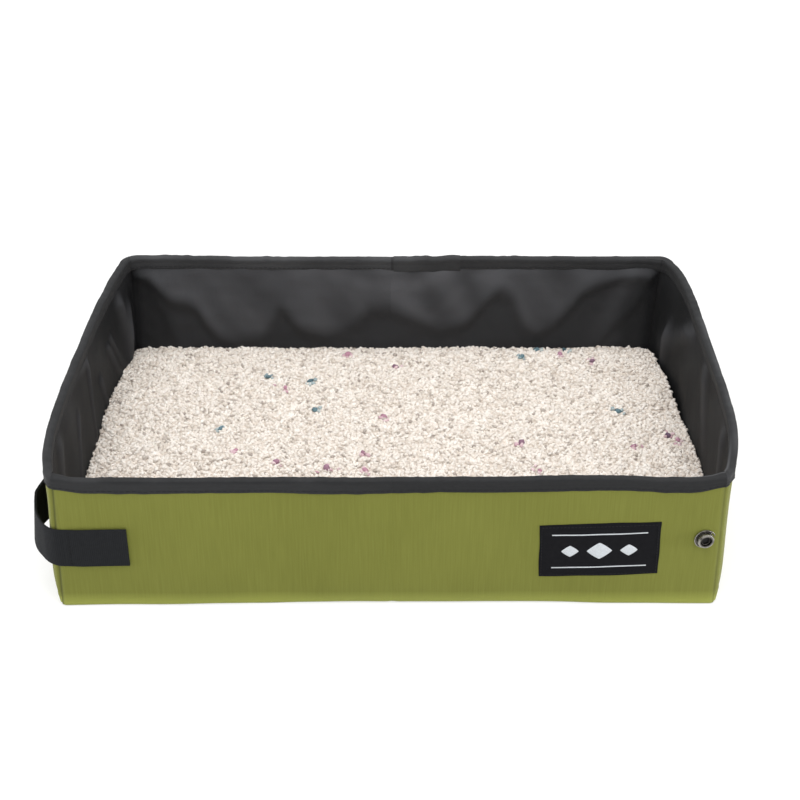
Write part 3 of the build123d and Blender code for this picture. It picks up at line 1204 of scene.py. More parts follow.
@dataclass
class StiffWalls:
    """Front and back walls: outer cloth and liner of each half."""

    body: Body
    cover_thickness: float = 0.0008
    liner_thickness: float = 0.0006
    liner_foot: float = 0.0047
    liner_split: float = 0.0143
    sewn_under: float = 0.0010
    edge_turn: float = 0.0015
    step: float = 0.0028
    sink: float = 0.0012
    wall_kept: float = 0.14
    foot_kept: float = 0.12

    def grid(self, face: Face, side: Side, levels: Array) -> tuple[Array, Array]:
        """X and Z of a half wall's grid, from the crease to the seam, closer together at both.

        Args:
            face: Which wall.
            side: Which half.
            levels: Heights where the rim doesn't sag.

        Returns:
            X and Z, shaped levels by columns.
        """
        form = self.body.form
        even = np.linspace(0, 1, int(0.23 / self.step))
        share = np.unique(np.concatenate([even, [0.003, 0.007, 0.993, 0.997]]))
        z = levels[:, None] * np.ones(len(share))
        start = form.crease
        end = side.value * (form.seam(side, face, z) - 0.0001)
        x = start + (end - start) * share
        rim = form.rim_height(face, x) - self.sink
        return x, z * rim / (form.height - self.sink)

    def cover(self, face: Face, side: Side) -> None:
        """Outer cloth of one half, from under the base to inside the rim tape.

        Args:
            face: Which wall.
            side: Which half.
        """
        form, wall = self.body.form, self.body.wall(face, side)
        turned = [0.0002, 0.0007, 0.0016, 0.003, 0.0055, 0.008]
        fold = np.linspace(0.010, 0.0186, 8)
        upper = np.arange(0.022, form.height - 0.0014, self.step)
        x, z = self.grid(face, side, np.concatenate([turned, fold, upper, [form.height - self.sink]]))
        edge = np.abs(x - side.value * form.seam(side, face, z))
        drawn = self.sink * (bell(edge, self.edge_turn) + bell(z, 0.0009))
        out = form.wall_out(face, x, z) - drawn
        points = beside(x, face.value * (form.half_width + out), z)
        # Painted shade in the crease of the corner seam, stronger on the left half
        painted_seam_shade = (0.9 if side is Side.LEFT else 0.5) * bell(edge, 0.0012)
        facing = (0, face.value, 0)
        piece = cloth_sheet(f"{wall}_cloth", points, beside(x, z), facing, self.cover_thickness, painted_seam_shade)
        self.body.bend_at_fold(piece, face, side)
        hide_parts(f"{wall}_cover")
        dress(piece, self.body.finishes.cloth)

    def drapes(self, face: Face, side: Side) -> tuple[Drape, ...]:
        """The drapes of one half wall's liner."""
        back = BACK_LEFT_DRAPES if side is Side.LEFT else BACK_RIGHT_DRAPES
        return FRONT_DRAPES if face is Face.FRONT else back

    def folds(self, face: Face, side: Side, x: Array, z: Array) -> Array:
        """How far the slack liner stands off the board.

        Args:
            face: Which wall.
            side: Which half.
            x: Distance along the wall.
            z: Height.

        Returns:
            Distances inwards.
        """
        form = self.body.form
        out = side.value * (x - form.crease)
        top = form.height - 0.0095
        total = sum(drape.push(out, z, top) for drape in self.drapes(face, side))
        total = total + 0.0006 * (1 + ripple(x, z, 33 + face.value, 0.040, 1.3))
        total = total + 0.00025 * ripple(x, z, 7, 0.014)
        rim = clipped((top + 0.0015 - z) / 0.006)
        foot = clipped((z - 0.011) / 0.010)
        seam = clipped(np.abs(side.value * form.seam(side, face, z) - x) / 0.008)
        return total * rim * foot * seam

    def liner_tones(self, face: Face, side: Side, x: Array, z: Array) -> Array:
        """Painted light on the liner, from 0 to 1: highlights on the drapes and streaks, fewer towards the
        corners.

        Args:
            face: Which wall.
            side: Which half.
            x: Distance along the wall.
            z: Height.

        Returns:
            Shares of the painted highlight.
        """
        out = side.value * (x - self.body.form.crease)
        mottle_and_highlight = [drape.painted_highlight(out, z) for drape in self.drapes(face, side)]
        patchy = clipped(0.50 + 0.24 * ripple(x + 0.7 * z, 0.4 * z, 83 + face.value, 0.042))
        tones = patchy * (mottle_and_highlight[0] if len(mottle_and_highlight) == 1 else mottle_and_highlight[0] * (0.25 + 0.75 * mottle_and_highlight[1]))
        if face is Face.BACK:
            marks = BACK_LEFT_HIGHLIGHT_STREAKS if side is Side.LEFT else BACK_RIGHT_HIGHLIGHT_STREAKS
            for begin, stop, width, share in marks:
                tones = tones + share * ridge(out, z, begin, stop, width)
        # Painted corner shade: the least highlight halves towards the corner seam
        least = 0.13 + 0.13 * clipped(((0.206 if side is Side.LEFT else 0.214) - out) / 0.016)
        return clipped(least + (1 - least) * tones)

    def liner(self, face: Face, side: Side) -> None:
        """Slack liner of one half, from the floor to inside the rim tape.

        It is cut at the fold line: the part on the wall is carried by the wall, and the foot
        stays on the base.

        Args:
            face: Which wall.
            side: Which half.
        """
        form, finish = self.body.form, self.body.finishes.liner
        foot = np.array([self.liner_foot, 0.007, 0.0095, 0.0119])
        fold = np.linspace(self.liner_split, 0.0186, 5)
        upper = np.arange(0.021, form.height - 0.0024, 0.0024)
        x, z = self.grid(face, side, np.concatenate([foot, fold, upper, [form.height - 0.0014]]))
        tones = self.liner_tones(face, side, x, z)
        deep = self.folds(face, side, x, z)
        points = beside(x, face.value * (form.half_width - form.wall - 0.0002 - deep), z)
        maps = beside(x, z)
        wall, base = self.body.wall(face, side), self.body.base(side)
        joint = self.body.fold_joint(face, side)
        inward, thick = (0, -face.value, 0), self.liner_thickness
        cut, end = len(foot), len(foot) + 1
        piece = cloth_sheet(f"{wall}_lining", points[cut:], maps[cut:], inward, thick, tones[cut:])
        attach(piece, wall)
        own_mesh(piece)
        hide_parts(f"{wall}_liner")
        dress(piece, finish)
        strip = cloth_sheet(f"{wall}_lining_foot", points[:end], maps[:end], inward, thick, tones[:end])
        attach(strip, base)
        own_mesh(strip)
        dress(strip, finish)

    def build(self) -> None:
        """Build and dress both walls."""
        for face in Face:
            for side in Side:
                self.cover(face, side)
                self.liner(face, side)


# Soft ends

# Folds of the end liners: where each begins and stops along Y and Z, its width and its depth
LEFT_FOLDS = (
    ((0.010, 0.098), (-0.078, 0.112), 0.0050, 0.0030), ((0.014, 0.098), (0.010, 0.030), 0.0032, 0.0026),
    ((0.084, 0.070), (0.118, 0.018), 0.0030, 0.0030), ((0.094, 0.074), (0.130, 0.024), 0.0026, 0.0024),
    ((0.046, 0.060), (0.068, 0.014), 0.0034, 0.0032), ((-0.036, 0.076), (-0.056, 0.030), 0.0034, 0.0020),
    ((0.128, 0.090), (0.150, 0.030), 0.0100, 0.0044), ((0.150, 0.070), (0.140, 0.018), 0.0100, 0.0040),
    ((-0.100, 0.094), (-0.112, 0.030), 0.0090, 0.0026),
)
RIGHT_FOLDS = (
    ((0.060, 0.098), (0.150, 0.036), 0.0100, 0.0034), ((0.128, 0.060), (0.138, 0.016), 0.0090, 0.0050),
    ((0.000, 0.096), (-0.030, 0.040), 0.0110, 0.0018), ((-0.090, 0.094), (-0.110, 0.030), 0.0100, 0.0024),
)


@dataclass
class SoftEnds:
    """Left and right ends: outer cloth, foam, liner, and the base's turned-up hem."""

    body: Body
    count: int = 132
    cover_thickness: float = 0.0008
    foam_inset: float = 0.00105
    foam_thickness: float = 0.0017
    liner_thickness: float = 0.0006
    hem_thickness: float = 0.0005
    hem_proud: float = 0.00035

    def layer(
        self, side: Side, inset: float, levels: Array, push: Push
    ) -> tuple[Array, Array]:
        """Grid of one layer of an end wall.

        Args:
            side: Which end.
            inset: How far the layer's face lies inside the outer face.
            levels: Heights of the grid's rows.
            push: Gives how far the layer stands out, from distance along it and height.

        Returns:
            Places and cloth map of the grid.
        """
        rows, maps = [], []
        for level in levels:
            line, normal, pace = self.body.form.end_line(side, float(level), inset, self.count)
            spot = line + normal * push(pace, np.full(len(pace), level))[:, None]
            rows.append(beside(*spot.T, level))
            maps.append(beside(pace, level))
        return np.array(rows), np.array(maps)

    def marks(self, side: Side) -> tuple[tuple[Any, ...], ...]:
        """Folds of one end's liner."""
        return LEFT_FOLDS if side is Side.LEFT else RIGHT_FOLDS

    def outer_push(self, side: Side) -> Push:
        """How the outer cloth of an end stands out: soft waves, and edges turned in at the seams.

        Args:
            side: Which end.

        Returns:
            Function that gives the distances outwards.
        """

        def push(pace: Array, level: Array) -> Array:
            """Distance outwards at each point.

            Args:
                pace: Distance along the end.
                level: Height.

            Returns:
                Distances outwards.
            """
            near = np.minimum(pace, pace.max() - pace)
            rim = clipped((self.body.form.height - level) / 0.022)
            wave = 0.0011 * ripple(pace, level, 51 + side.value, 0.085, 2.2) * clipped(near / 0.03) * rim
            return wave - 0.0012 * bell(near, 0.0015)

        return push

    def slack(self, side: Side) -> Push:
        """How the slack liner of an end hangs: upright buckles, and a fold down from each corner.

        Args:
            side: Which end.

        Returns:
            Function that gives the distances outwards.
        """

        def push(pace: Array, level: Array) -> Array:
            """Distance outwards at each point, which is inwards wherever the liner is slack.

            Args:
                pace: Distance along the end.
                level: Height.

            Returns:
                Distances outwards.
            """
            total = pace.max()
            near, middle = np.minimum(pace, total - pace), pace - total / 2
            marks = self.marks(side)
            folds = sum(deep * ridge(middle, level, *line) for *line, deep in marks)
            waves = 0.0008 * (1 + ripple(pace, level, 71 + side.value, 0.070, 2.5))
            hold = clipped((self.body.form.height - 0.008 - level) / 0.014) * clipped(near / 0.014)
            return -(folds + waves) * hold

        return push

    def hang(self, piece: Piece, side: Side, node: str) -> None:
        """Carry one full sheet of an end on the end's body, and hide the node that it stands for.

        Args:
            piece: The sheet.
            side: Which end.
            node: Node that it stands for.
        """
        self.body.fold_end(piece, side)
        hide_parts(node)

    def cover(self, side: Side) -> None:
        """Outer cloth of one end, above its fold line.

        Args:
            side: Which end.
        """
        form, name = self.body.form, f"{side.label}_end"
        fold = np.linspace(form.end_fold_height - 0.0008, 0.016, 5)
        levels = np.concatenate([fold, np.linspace(0.019, form.height - 0.0012, 31)])
        points, maps = self.layer(side, 0, levels, self.outer_push(side))
        pace = maps[..., 0]
        # Painted shade in the creases at both seams of the end
        painted_seam_shade = 0.4 * bell(np.minimum(pace, pace.max() - pace), 0.0012)
        piece = cloth_sheet(f"{name}_cloth", points, maps, (side.value, 0, 0), self.cover_thickness, painted_seam_shade)
        self.hang(piece, side, f"{name}_cover")
        dress(piece, self.body.finishes.cloth)

    def pad(self, side: Side) -> None:
        """Thin foam between the cloth and the liner.

        Args:
            side: Which end.
        """
        form, name = self.body.form, f"{side.label}_end_foam"
        levels = np.linspace(form.end_fold_height + 0.001, form.height - 0.002, 14)
        points, maps = self.layer(side, self.foam_inset, levels, lambda pace, level: -0.0004 + 0 * pace)
        piece = cloth_sheet(f"{name}_pad", points, maps, (side.value, 0, 0), self.foam_thickness)
        self.body.fold_end(piece, side)
        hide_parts(name)
        dress(piece, self.body.finishes.foam)

    def liner(self, side: Side) -> None:
        """Slack liner of one end.

        Args:
            side: Which end.
        """
        form, name = self.body.form, f"{side.label}_end"
        fold = np.linspace(form.end_fold_height, 0.018, 6)
        levels = np.concatenate([fold, np.linspace(0.0205, form.height - 0.0014, 36)])
        points, maps = self.layer(side, form.wall, levels, self.slack(side))
        pace, level = maps[..., 0], maps[..., 1]
        middle = pace - pace[0].max() / 2
        marks = self.marks(side)
        # Painted highlights on the crests of the folds
        crest_highlight = sum(ridge(middle, level, begin, stop, 0.8 * width) for begin, stop, width, _ in marks)
        tones = clipped(0.02 + 0.46 * crest_highlight + 0.07 * ripple(pace, level, 29, 0.060))
        piece = cloth_sheet(f"{name}_lining", points, maps, (-side.value, 0, 0), self.liner_thickness, tones)
        self.hang(piece, side, f"{name}_liner")
        dress(piece, self.body.finishes.liner)

    def hem(self, side: Side) -> None:
        """Turned-up edge of the base cloth round the end, which laps over the end's foot.

        Args:
            side: Which end.
        """
        levels = np.array([0.0002, 0.0007, 0.0016, 0.0030, 0.0045, 0.0060, 0.0070, 0.0074])
        push, base = self.outer_push(side), self.body.base(side)

        def lap(pace: Array, level: Array) -> Array:
            """Distance outwards: just proud of the end's cloth, and drawn in under the floor edge."""
            return push(pace, level) + self.hem_proud - 0.0012 * bell(level, 0.0009)

        points, maps = self.layer(side, 0, levels, lap)
        piece = cloth_sheet(f"{base}_hem", points, maps, (side.value, 0, 0), self.hem_thickness)
        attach(piece, base)
        dress(piece, self.body.finishes.cloth)

    def build(self) -> None:
        """Build and dress both ends."""
        for side in Side:
            for make in (self.cover, self.pad, self.liner, self.hem):
                make(side)


# Rim tape

# Lines that a tape's stitches follow: the outer one, the inner one, and the outward directions
Seams = tuple[Array, Array, Array]


@dataclass
class RimTape:
    """Tape folded over the rim, with a rolled top edge, a groove, and a sewn lower edge.

    A row of the profile holds its distance out and its height over the rim, both in
    millimetres, and its share of the drop, which is below 0 because the tape hangs down. The
    middle, where the outer half becomes the inner one, and the usual drop are in millimetres too.
    """

    body: Body
    thickness: float = 0.0008
    profile: tuple[Point, ...] = (
        (0.60, 0, -1.00), (0.95, 0, -0.97), (1.15, 0, -0.82), (1.30, 0, -0.62), (1.36, 0, -0.52),
        (1.00, 0, -0.42), (1.26, 0, -0.32), (1.36, 0, -0.14), (1.34, 0.15, -0.01), (1.10, 0.72, 0),
        (0.30, 0.95, 0), (-1.95, 1.0, 0), (-4.20, 0.80, 0), (-5.15, 0.10, -0.03), (-5.30, 0, -0.16),
        (-5.20, 0, -0.30), (-4.90, 0, -0.42), (-5.10, 0, -0.54), (-5.05, 0, -0.62), (-4.95, 0, -0.82),
        (-4.85, 0, -0.97), (-4.50, 0, -1.00),
    )
    least_top: float = 0.1093
    drop: float = 0.0110
    drop_places: Row = (
        -0.236, -0.228, -0.214, -0.187, -0.159, -0.131, -0.104, -0.076, -0.048, 0.008, 0.035, 0.105, 0.147,
        0.160, 0.188, 0.206, 0.220, 0.236,
    )
    front_drops: Row = (
        0.0088, 0.0089, 0.0096, 0.0106, 0.0099, 0.0096, 0.0098, 0.0098, 0.0107, 0.0101, 0.0093, 0.0102,
        0.0098, 0.0090, 0.0092, 0.0102, 0.0094, 0.0074,
    )
    stitch_share: float = 0.76
    stitch_lift: float = 0.00012
    middle: float = -1.95
    usual_drop: float = 11

    def around(self, marks: Array) -> Array:
        """Distance round a profile, in millimetres, at the tape's usual drop."""
        return walked(beside(marks[:, 0], marks[:, 1] + self.usual_drop * marks[:, 2]))

    def curve(self) -> Array:
        """Profile smoothed into many points.

        Returns:
            Rows of distance out and height over the rim, in millimetres, and share of the drop.
        """
        marks = np.array(self.profile)
        knots = self.around(marks)
        fine = spaced(np.linspace(0, knots[-1], 58), knots, marks)
        for _ in range(2):
            fine[1:-1] = 0.25 * fine[:-2] + 0.5 * fine[1:-1] + 0.25 * fine[2:]
        return fine

    def sweep(
        self,
        name: str,
        line: Array,
        normal: Array,
        tops: Array,
        drops: Array,
        seed: int,
        roll_highlight: Any,
        base: Any,
        proud: float = 0,
        corners: tuple[bool, bool] = (False, False),
        lip_highlight: Any = 0,
    ) -> tuple[Piece, Seams]:
        """Sweep the tape along a rim.

        Args:
            name: Name of the piece.
            line: Outer face of the cloth under the tape, one row for each place.
            normal: Outward directions there.
            tops: Height of the rim there.
            drops: How far the tape hangs down there.
            seed: Seed of the tape's small waves.
            roll_highlight: Painted highlight on the rolled top edge, everywhere or at each place; below 0 it
                paints shade there instead.
            base: How pale the whole tape is, everywhere or at each place.
            proud: How far the tape stands outside its usual profile, as a lap does.
            corners: Whether the start and the end meet a corner, where the tape bunches inwards.
            lip_highlight: Painted highlight on the inner top edge besides, everywhere or at each place.

        Returns:
            The tape, and the lines that its stitches follow.
        """
        walk, soft, curve = walked(line), all(corners), self.curve()
        flat = 0 * walk
        pucker = 0.00022 * ripple(walk, flat, seed, 0.014) + 0.0003 * ripple(walk, flat, seed + 1, 0.060)
        lift = 0.0003 * ripple(walk, flat, seed + 2, 0.030) + 0.00025 * ripple(walk, flat, seed + 3, 0.010)
        from_start = walk if corners[0] else flat + 1
        from_end = walk[-1] - walk if corners[1] else flat + 1
        bunch = 0.0020 * bell(np.minimum(from_start, from_end), 0.007)
        drawn = 0.0008 * bell(walk - 0.006, 0.006) if soft else flat
        rows, maps = [], []
        for (out, over, share), distance in zip(curve, self.around(curve) * 0.001):
            hang = abs(share)
            stand = pucker * hang + proud
            push = out * 0.001 + stand - drawn if out > self.middle else out * 0.001 - stand - bunch
            spot = line + normal * push[:, None]
            z = tops + over * 0.001 + share * (drops + proud) + lift * (1 - 0.6 * hang) + proud * (1 - hang)
            if over > 0.5:
                z = np.maximum(z, self.least_top)
            rows.append(beside(*spot.T, z))
            maps.append(beside(walk, distance))
        points = np.array(rows)
        inside = curve[:, 0] < self.middle
        for _ in range(12 if soft else 0):
            plan = points[inside, :, :2]
            points[inside, 1:-1, :2] = 0.25 * plan[:, :-2] + 0.5 * plan[:, 1:-1] + 0.25 * plan[:, 2:]
        # Painted light on the tape: highlights on the rolled top edge and the inner lip, over its base tone
        roll = clipped(1 - np.abs(curve[:, 2]) / 0.25)
        roll = roll * clipped((curve[:, 0] + 3.4) / 2.2) if soft else np.maximum(roll, 0.5 * inside)
        patchy = clipped(0.6 + 0.5 * ripple(walk, flat, seed + 4, 0.050))
        edge = bell(curve[:, 0] + 4.2, 0.8) * (curve[:, 1] > 0.04)
        tones = clipped(base + roll_highlight * roll[:, None] * patchy + lip_highlight * edge[:, None])
        piece = cloth_sheet(name, points, np.array(maps), (0, 0, 1), self.thickness, tones)
        pick = np.abs(np.abs(curve[:, 2]) - self.stitch_share)
        half = len(curve) // 2
        outer, inner = int(np.argmin(pick[:half])), half + int(np.argmin(pick[half:]))
        out = beside(*normal.T, 0.0)
        return piece, (points[outer] + self.stitch_lift * out, points[inner] - self.stitch_lift * out, out)

    def drops_along(self, face: Face, x: Array) -> Array:
        """How far the tape hangs down along a stiff wall.

        Args:
            face: Which wall.
            x: Places along it.

        Returns:
            Distances downwards.
        """
        if face is Face.BACK:
            return self.drop - 0.0006 + 0 * x
        return smoothed(x, self.drop_places, self.front_drops, 0.008, 5)

    def end_run(self, side: Side, pace: Array) -> tuple[Array, Array]:
        """Height and drop of the tape along a soft end, which join those of the stiff walls.

        Args:
            side: Which end.
            pace: Distance along the end from the front seam.

        Returns:
            Heights of the rim and drops of the tape.
        """
        form = self.body.form
        height = np.array(form.height)
        corners = [side.value * form.seam(side, face, height) for face in Face]
        heights = [float(form.rim_height(face, x)) for face, x in zip(Face, corners)]
        drops = [float(self.drops_along(face, x)) for face, x in zip(Face, corners)]
        marks = (0, 0.006, 0.026, pace[-1] - 0.026, pace[-1] - 0.006, pace[-1])
        tops = (heights[0], heights[0], form.height, form.height, heights[1], heights[1])
        falls = (drops[0], drops[0], self.drop - 0.0012, self.drop - 0.0006, drops[1], drops[1])
        return np.interp(pace, marks, tops), np.interp(pace, marks, falls)

    def sew(self, piece: Piece, seams: Seams, carry: Callable[[Piece], None], node: str) -> None:
        """Carry and dress one tape, and sew both of its edges.

        Args:
            piece: The tape.
            seams: The lines that its stitches follow.
            carry: Puts a piece on the tape's body.
            node: Node that the tape stands for.
        """
        finishes = self.body.finishes
        carry(piece)
        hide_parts(node)
        dress(piece, finishes.binding)
        outer, inner, out = seams
        for where, line, facing in (("outer", outer, out), ("inner", inner, -out)):
            sewn = StitchMaker().along(f"{piece.name}_{where}_stitches", line, facing)
            carry(sewn)
            dress(sewn, finishes.dark_thread)

    def lap(self) -> None:
        """Lap the tape's two ends at the back."""
        form = self.body.form
        x = np.linspace(0.0045, 0.064, 30)
        line, normal = form.wall_rim(Face.BACK, x), np.tile((0.0, 1.0), (len(x), 1))
        tops = form.rim_height(Face.BACK, x) + 0.0002 * np.sin(x / 0.004)
        drops = np.full(len(x), self.drop - 0.0002)
        # Painted highlight on the lap's rolled edge
        piece, _ = self.sweep("back_lap_tape", line, normal, tops, drops, 91, 0.3, 0.09, 0.0005)
        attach(piece, self.body.wall(Face.BACK, Side.RIGHT))
        dress(piece, self.body.finishes.binding)

    def bind_wall(self, face: Face, side: Side) -> None:
        """Bind and sew the rim of one half of a stiff wall.

        Args:
            face: Which wall.
            side: Which half.
        """
        form, wall = self.body.form, self.body.wall(face, side)
        seam = float(form.seam(side, face, np.array(form.height))) - 0.00005
        x = np.linspace(form.crease, side.value * seam, 96)
        line, normal = form.wall_rim(face, x), np.tile((0.0, float(face.value)), (len(x), 1))
        tops, drops = form.rim_height(face, x), self.drops_along(face, x)
        # On the front, painted shade darkens the lit top; the paler base on the left of the front and on the
        # back-left half paints light there
        if face is Face.FRONT:
            roll_highlight, base = -0.15, np.interp(x, (-0.06, 0.02), (0.08, 0.0))
            lip_highlight = np.interp(x, (0.198, 0.212, 0.230), (0, 1.2, 1.3))
        else:
            roll_highlight, base, lip_highlight = (0.28, 0.16, 0) if side is Side.LEFT else (0.08, 0.09, 0)
        name, seed, corners = f"{wall}_rim_tape", 90 + face.value, (False, True)
        piece, seams = self.sweep(name, line, normal, tops, drops, seed, roll_highlight, base, 0, corners, lip_highlight)
        self.sew(piece, seams, lambda cloth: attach(cloth, wall), f"{wall}_binding")

    def bind_end(self, side: Side) -> None:
        """Bind and sew the rim of one soft end.

        Args:
            side: Which end.
        """
        line, normal, pace = self.body.form.end_line(side, self.body.form.height, 0, 190)
        tops, drops = self.end_run(side, pace)
        # Painted highlights on the end tape's rolled edge, and on the inner lip at the right end's front
        # corner
        roll_highlight, lip_highlight = 0.13, 0
        if side is Side.RIGHT:
            roll_highlight = np.interp(pace, (0.02, 0.05, 0.24, 0.30), (0.25, 0.40, 0.34, 0.1))
            lip_highlight = np.interp(pace, (0, 0.02, 0.06), (1.0, 0.6, 0))
        name, seed, corners = f"{side.label}_end_rim_tape", 97 + side.value, (True, True)
        piece, seams = self.sweep(name, line, normal, tops, drops, seed, roll_highlight, 0.02, 0, corners, lip_highlight)
        self.sew(piece, seams, lambda cloth: self.body.fold_end(cloth, side), f"{side.label}_end_binding")

    def build(self) -> None:
        """Bind and sew the stiff walls' rims, then the soft ends' rims."""
        self.lap()
        for face in Face:
            for side in Side:
                self.bind_wall(face, side)
        for side in Side:
            self.bind_end(side)


# Base


@dataclass
class Base:
    """Base halves: bottom cloth and floor liner, and the finish of all the stiffener boards."""

    body: Body
    cover_thickness: float = 0.0008
    cover_inset: float = 0.0012
    cover_height: float = 0.00002
    floor_top: float = 0.0044
    liner_thickness: float = 0.0006
    rows: int = 50

    def flat_grid(self, side: Side, inset: float) -> tuple[Array, Array]:
        """Grid over one half of the base, out to its rounded end.

        Args:
            side: Which half.
            inset: How far it lies inside the outer face.

        Returns:
            X and Y of the grid.
        """
        form = self.body.form
        reach = form.half_width - inset - 0.0004
        y = np.linspace(-reach, reach, 71)
        line, _, _ = form.end_line(side, 0.0, inset, 160)
        order = np.argsort(line[:, 1])
        end = np.interp(y, line[order, 1], line[order, 0] * side.value) * side.value
        share = np.linspace(0, 1, self.rows)[:, None]
        return form.crease + (end - form.crease) * share, np.tile(y, (self.rows, 1))

    def bottom(self, side: Side) -> None:
        """Bottom cloth of one half, drawn in at the foot of the stiff walls.

        Args:
            side: Which half.
        """
        base = self.body.base(side)
        x, y = self.flat_grid(side, self.cover_inset)
        for face in Face:
            edge = clipped((face.value * y - 0.120) / 0.0534)
            y = y - face.value * edge * self.body.form.foot_in(face, x)
        points, maps = beside(x, y, self.cover_height), beside(y, x + 1)
        piece = cloth_sheet(f"{base}_cloth", points, maps, (0, 0, -1), self.cover_thickness)
        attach(piece, base)
        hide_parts(f"{base}_cover")
        dress(piece, self.body.finishes.cloth)

    def floor(self, side: Side) -> None:
        """Floor liner of one half, under the litter.

        Args:
            side: Which half.
        """
        base = self.body.base(side)
        x, y = self.flat_grid(side, self.body.form.wall + 0.0006)
        points = beside(x, y, self.floor_top + 0.00012 * ripple(x, y, 5, 0.05))
        name, thick = f"floor_{side.label}_lining", self.liner_thickness
        piece = cloth_sheet(name, points, beside(x, y), (0, 0, 1), thick)
        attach(piece, base)
        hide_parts(f"floor_liner_{side.label}")
        dress(piece, self.body.finishes.liner)

    def build(self) -> None:
        """Build and dress both halves, and paint the stiffener boards."""
        for side in Side:
            self.bottom(side)
            self.floor(side)
        for name, node in self.body.nodes.items():
            if name.endswith("_board"):
                paint(node, self.body.finishes.board)


# Strap


@dataclass
class Handle:
    """Webbing strap: two sewn ends and the free loop round the left end.

    The routes hold X, Y and how far the lower edge swings out beyond the middle. A swing below 0
    draws in the lower half alone.
    """

    body: Body
    width: float = 0.0330
    thickness: float = 0.0016
    middle_height: float = 0.0532
    sewn_start: float = 0.1855
    seam: float = 0.2298
    stud_y: float = -0.0900
    front_route: tuple[Point, ...] = (
        (-0.2298, -0.1760, 0.0), (-0.2365, -0.1754, 0.0), (-0.2432, -0.1716, 0.0003),
        (-0.2490, -0.1642, 0.0007), (-0.2536, -0.1565, 0.0013), (-0.2566, -0.1480, 0.0018),
        (-0.2588, -0.1350, 0.0014), (-0.2574, -0.1240, -0.0014), (-0.2546, -0.1110, -0.0034),
        (-0.2536, -0.0950, -0.0034), (-0.2541, -0.0600, -0.0022), (-0.2536, -0.0250, -0.0016),
        (-0.2533, 0.0, -0.0010),
    )
    back_route: tuple[Point, ...] = (
        (-0.2298, 0.1760, 0.0), (-0.2370, 0.1752, 0.0), (-0.2435, 0.1712, 0.0004),
        (-0.2484, 0.1630, 0.0008), (-0.2510, 0.1500, 0.0008), (-0.2524, 0.1300, 0.0004),
        (-0.2530, 0.1000, 0.0), (-0.2534, 0.0600, 0.0), (-0.2534, 0.0250, -0.0004), (-0.2533, 0.0, -0.0010),
    )
    loop_start: float = 0.045
    stitch_inset: float = 0.003

    def path(self, face: Face) -> Array:
        """Smooth line through a route, with the swing of the lower edge kept beside it.

        Args:
            face: Whether it is the front or the back route.

        Returns:
            Rows of X, Y and swing.
        """
        knots = np.array(self.front_route if face is Face.FRONT else self.back_route)
        walk = walked(knots[:, :2])
        slope = np.gradient(knots, walk, axis=0)
        slope[0], slope[-1] = (-1, 0, 0), (0, -face.value, 0)
        pace = np.linspace(0, walk[-1], 110)
        index = np.clip(np.searchsorted(walk, pace, "right") - 1, 0, len(walk) - 2)
        span = (walk[index + 1] - walk[index])[:, None]
        t = (pace - walk[index])[:, None] / span
        return (
            (2 * t**3 - 3 * t**2 + 1) * knots[index]
            + (t**3 - 2 * t**2 + t) * span * slope[index]
            + (3 * t**2 - 2 * t**3) * knots[index + 1]
            + (t**3 - t**2) * span * slope[index + 1]
        )

    def band(
        self, name: str, line: Array, out: Array, heights: Array, start: float
    ) -> Piece:
        """Webbing swept along a line.

        Args:
            name: Name of the piece.
            line: Middle of the webbing in plan, and how far its lower edge swings out.
            out: Outward directions in plan.
            heights: Height of its middle.
            start: Distance along the whole strap at the first point.

        Returns:
            The webbing.
        """
        walk = start + walked(line[:, :2])
        half, thick = self.width / 2, self.thickness / 2
        edge = [(half - 0.0022, thick - 0.0001), (half - 0.0009, thick), (half - 0.0003, thick - 0.0004)]
        section = [(-level, lift) for level, lift in reversed(edge)]
        section += [(level, thick) for level in np.linspace(-half + 0.004, half - 0.004, 15)]
        rows, maps = [], []
        for level, lift in section + edge:
            swing = np.where(line[:, 2] > 0, -level / half, max(0, -level / half)) * line[:, 2]
            spot = line[:, :2] + out * (lift + swing)[:, None]
            rows.append(beside(*spot.T, heights + level))
            maps.append(beside(walk, level))
        middle = out[len(out) // 2]
        return cloth_sheet(name, np.array(rows), np.array(maps), (*middle, 0), self.thickness)

    def loop(self, face: Face) -> None:
        """Half of the free loop, from a corner seam to the middle of the left end.

        Args:
            face: Whether it is the front or the back half.
        """
        name, y = f"strap_{face.label}", face.value * self.body.form.half_width
        line = self.path(face)
        tangent = unit(np.gradient(line[:, :2], axis=0))
        out = np.stack([-tangent[:, 1], tangent[:, 0]], 1) * (-face.value)
        walk = walked(line[:, :2])
        heights = self.middle_height + 0.0008 * (np.sin(pi * walk / walk[-1]) * np.sin(walk / 0.05))
        piece = self.band(f"{name}_loop", line, out, heights, self.loop_start)
        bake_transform(piece)
        if face is Face.FRONT:
            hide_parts("handle_strap")
        dress(piece, self.body.finishes.webbing)

    def sewn_end(self, face: Face) -> None:
        """Sewn end of the strap, flat on a stiff wall.

        Args:
            face: Which wall.
        """
        form, name, wall = self.body.form, f"strap_{face.label}", self.body.wall(face, Side.LEFT)
        x = np.linspace(-self.sewn_start, -self.seam - 0.0004, 30)
        wall_y = form.wall_out(face, x, np.full(len(x), self.middle_height))
        lift = self.thickness / 2 + 0.0002 + wall_y * clipped((self.seam + x) / 0.01)
        line = np.column_stack([x, face.value * (form.half_width + lift), 0 * x])
        out = np.tile((0.0, float(face.value)), (len(x), 1))
        lean = 0.0006 * (x + self.seam) / 0.044
        piece = self.band(f"{name}_sewn", line, out, self.middle_height + lean, 0.0)
        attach(piece, wall)
        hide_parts(f"{name}_end")
        dress(piece, self.body.finishes.webbing)

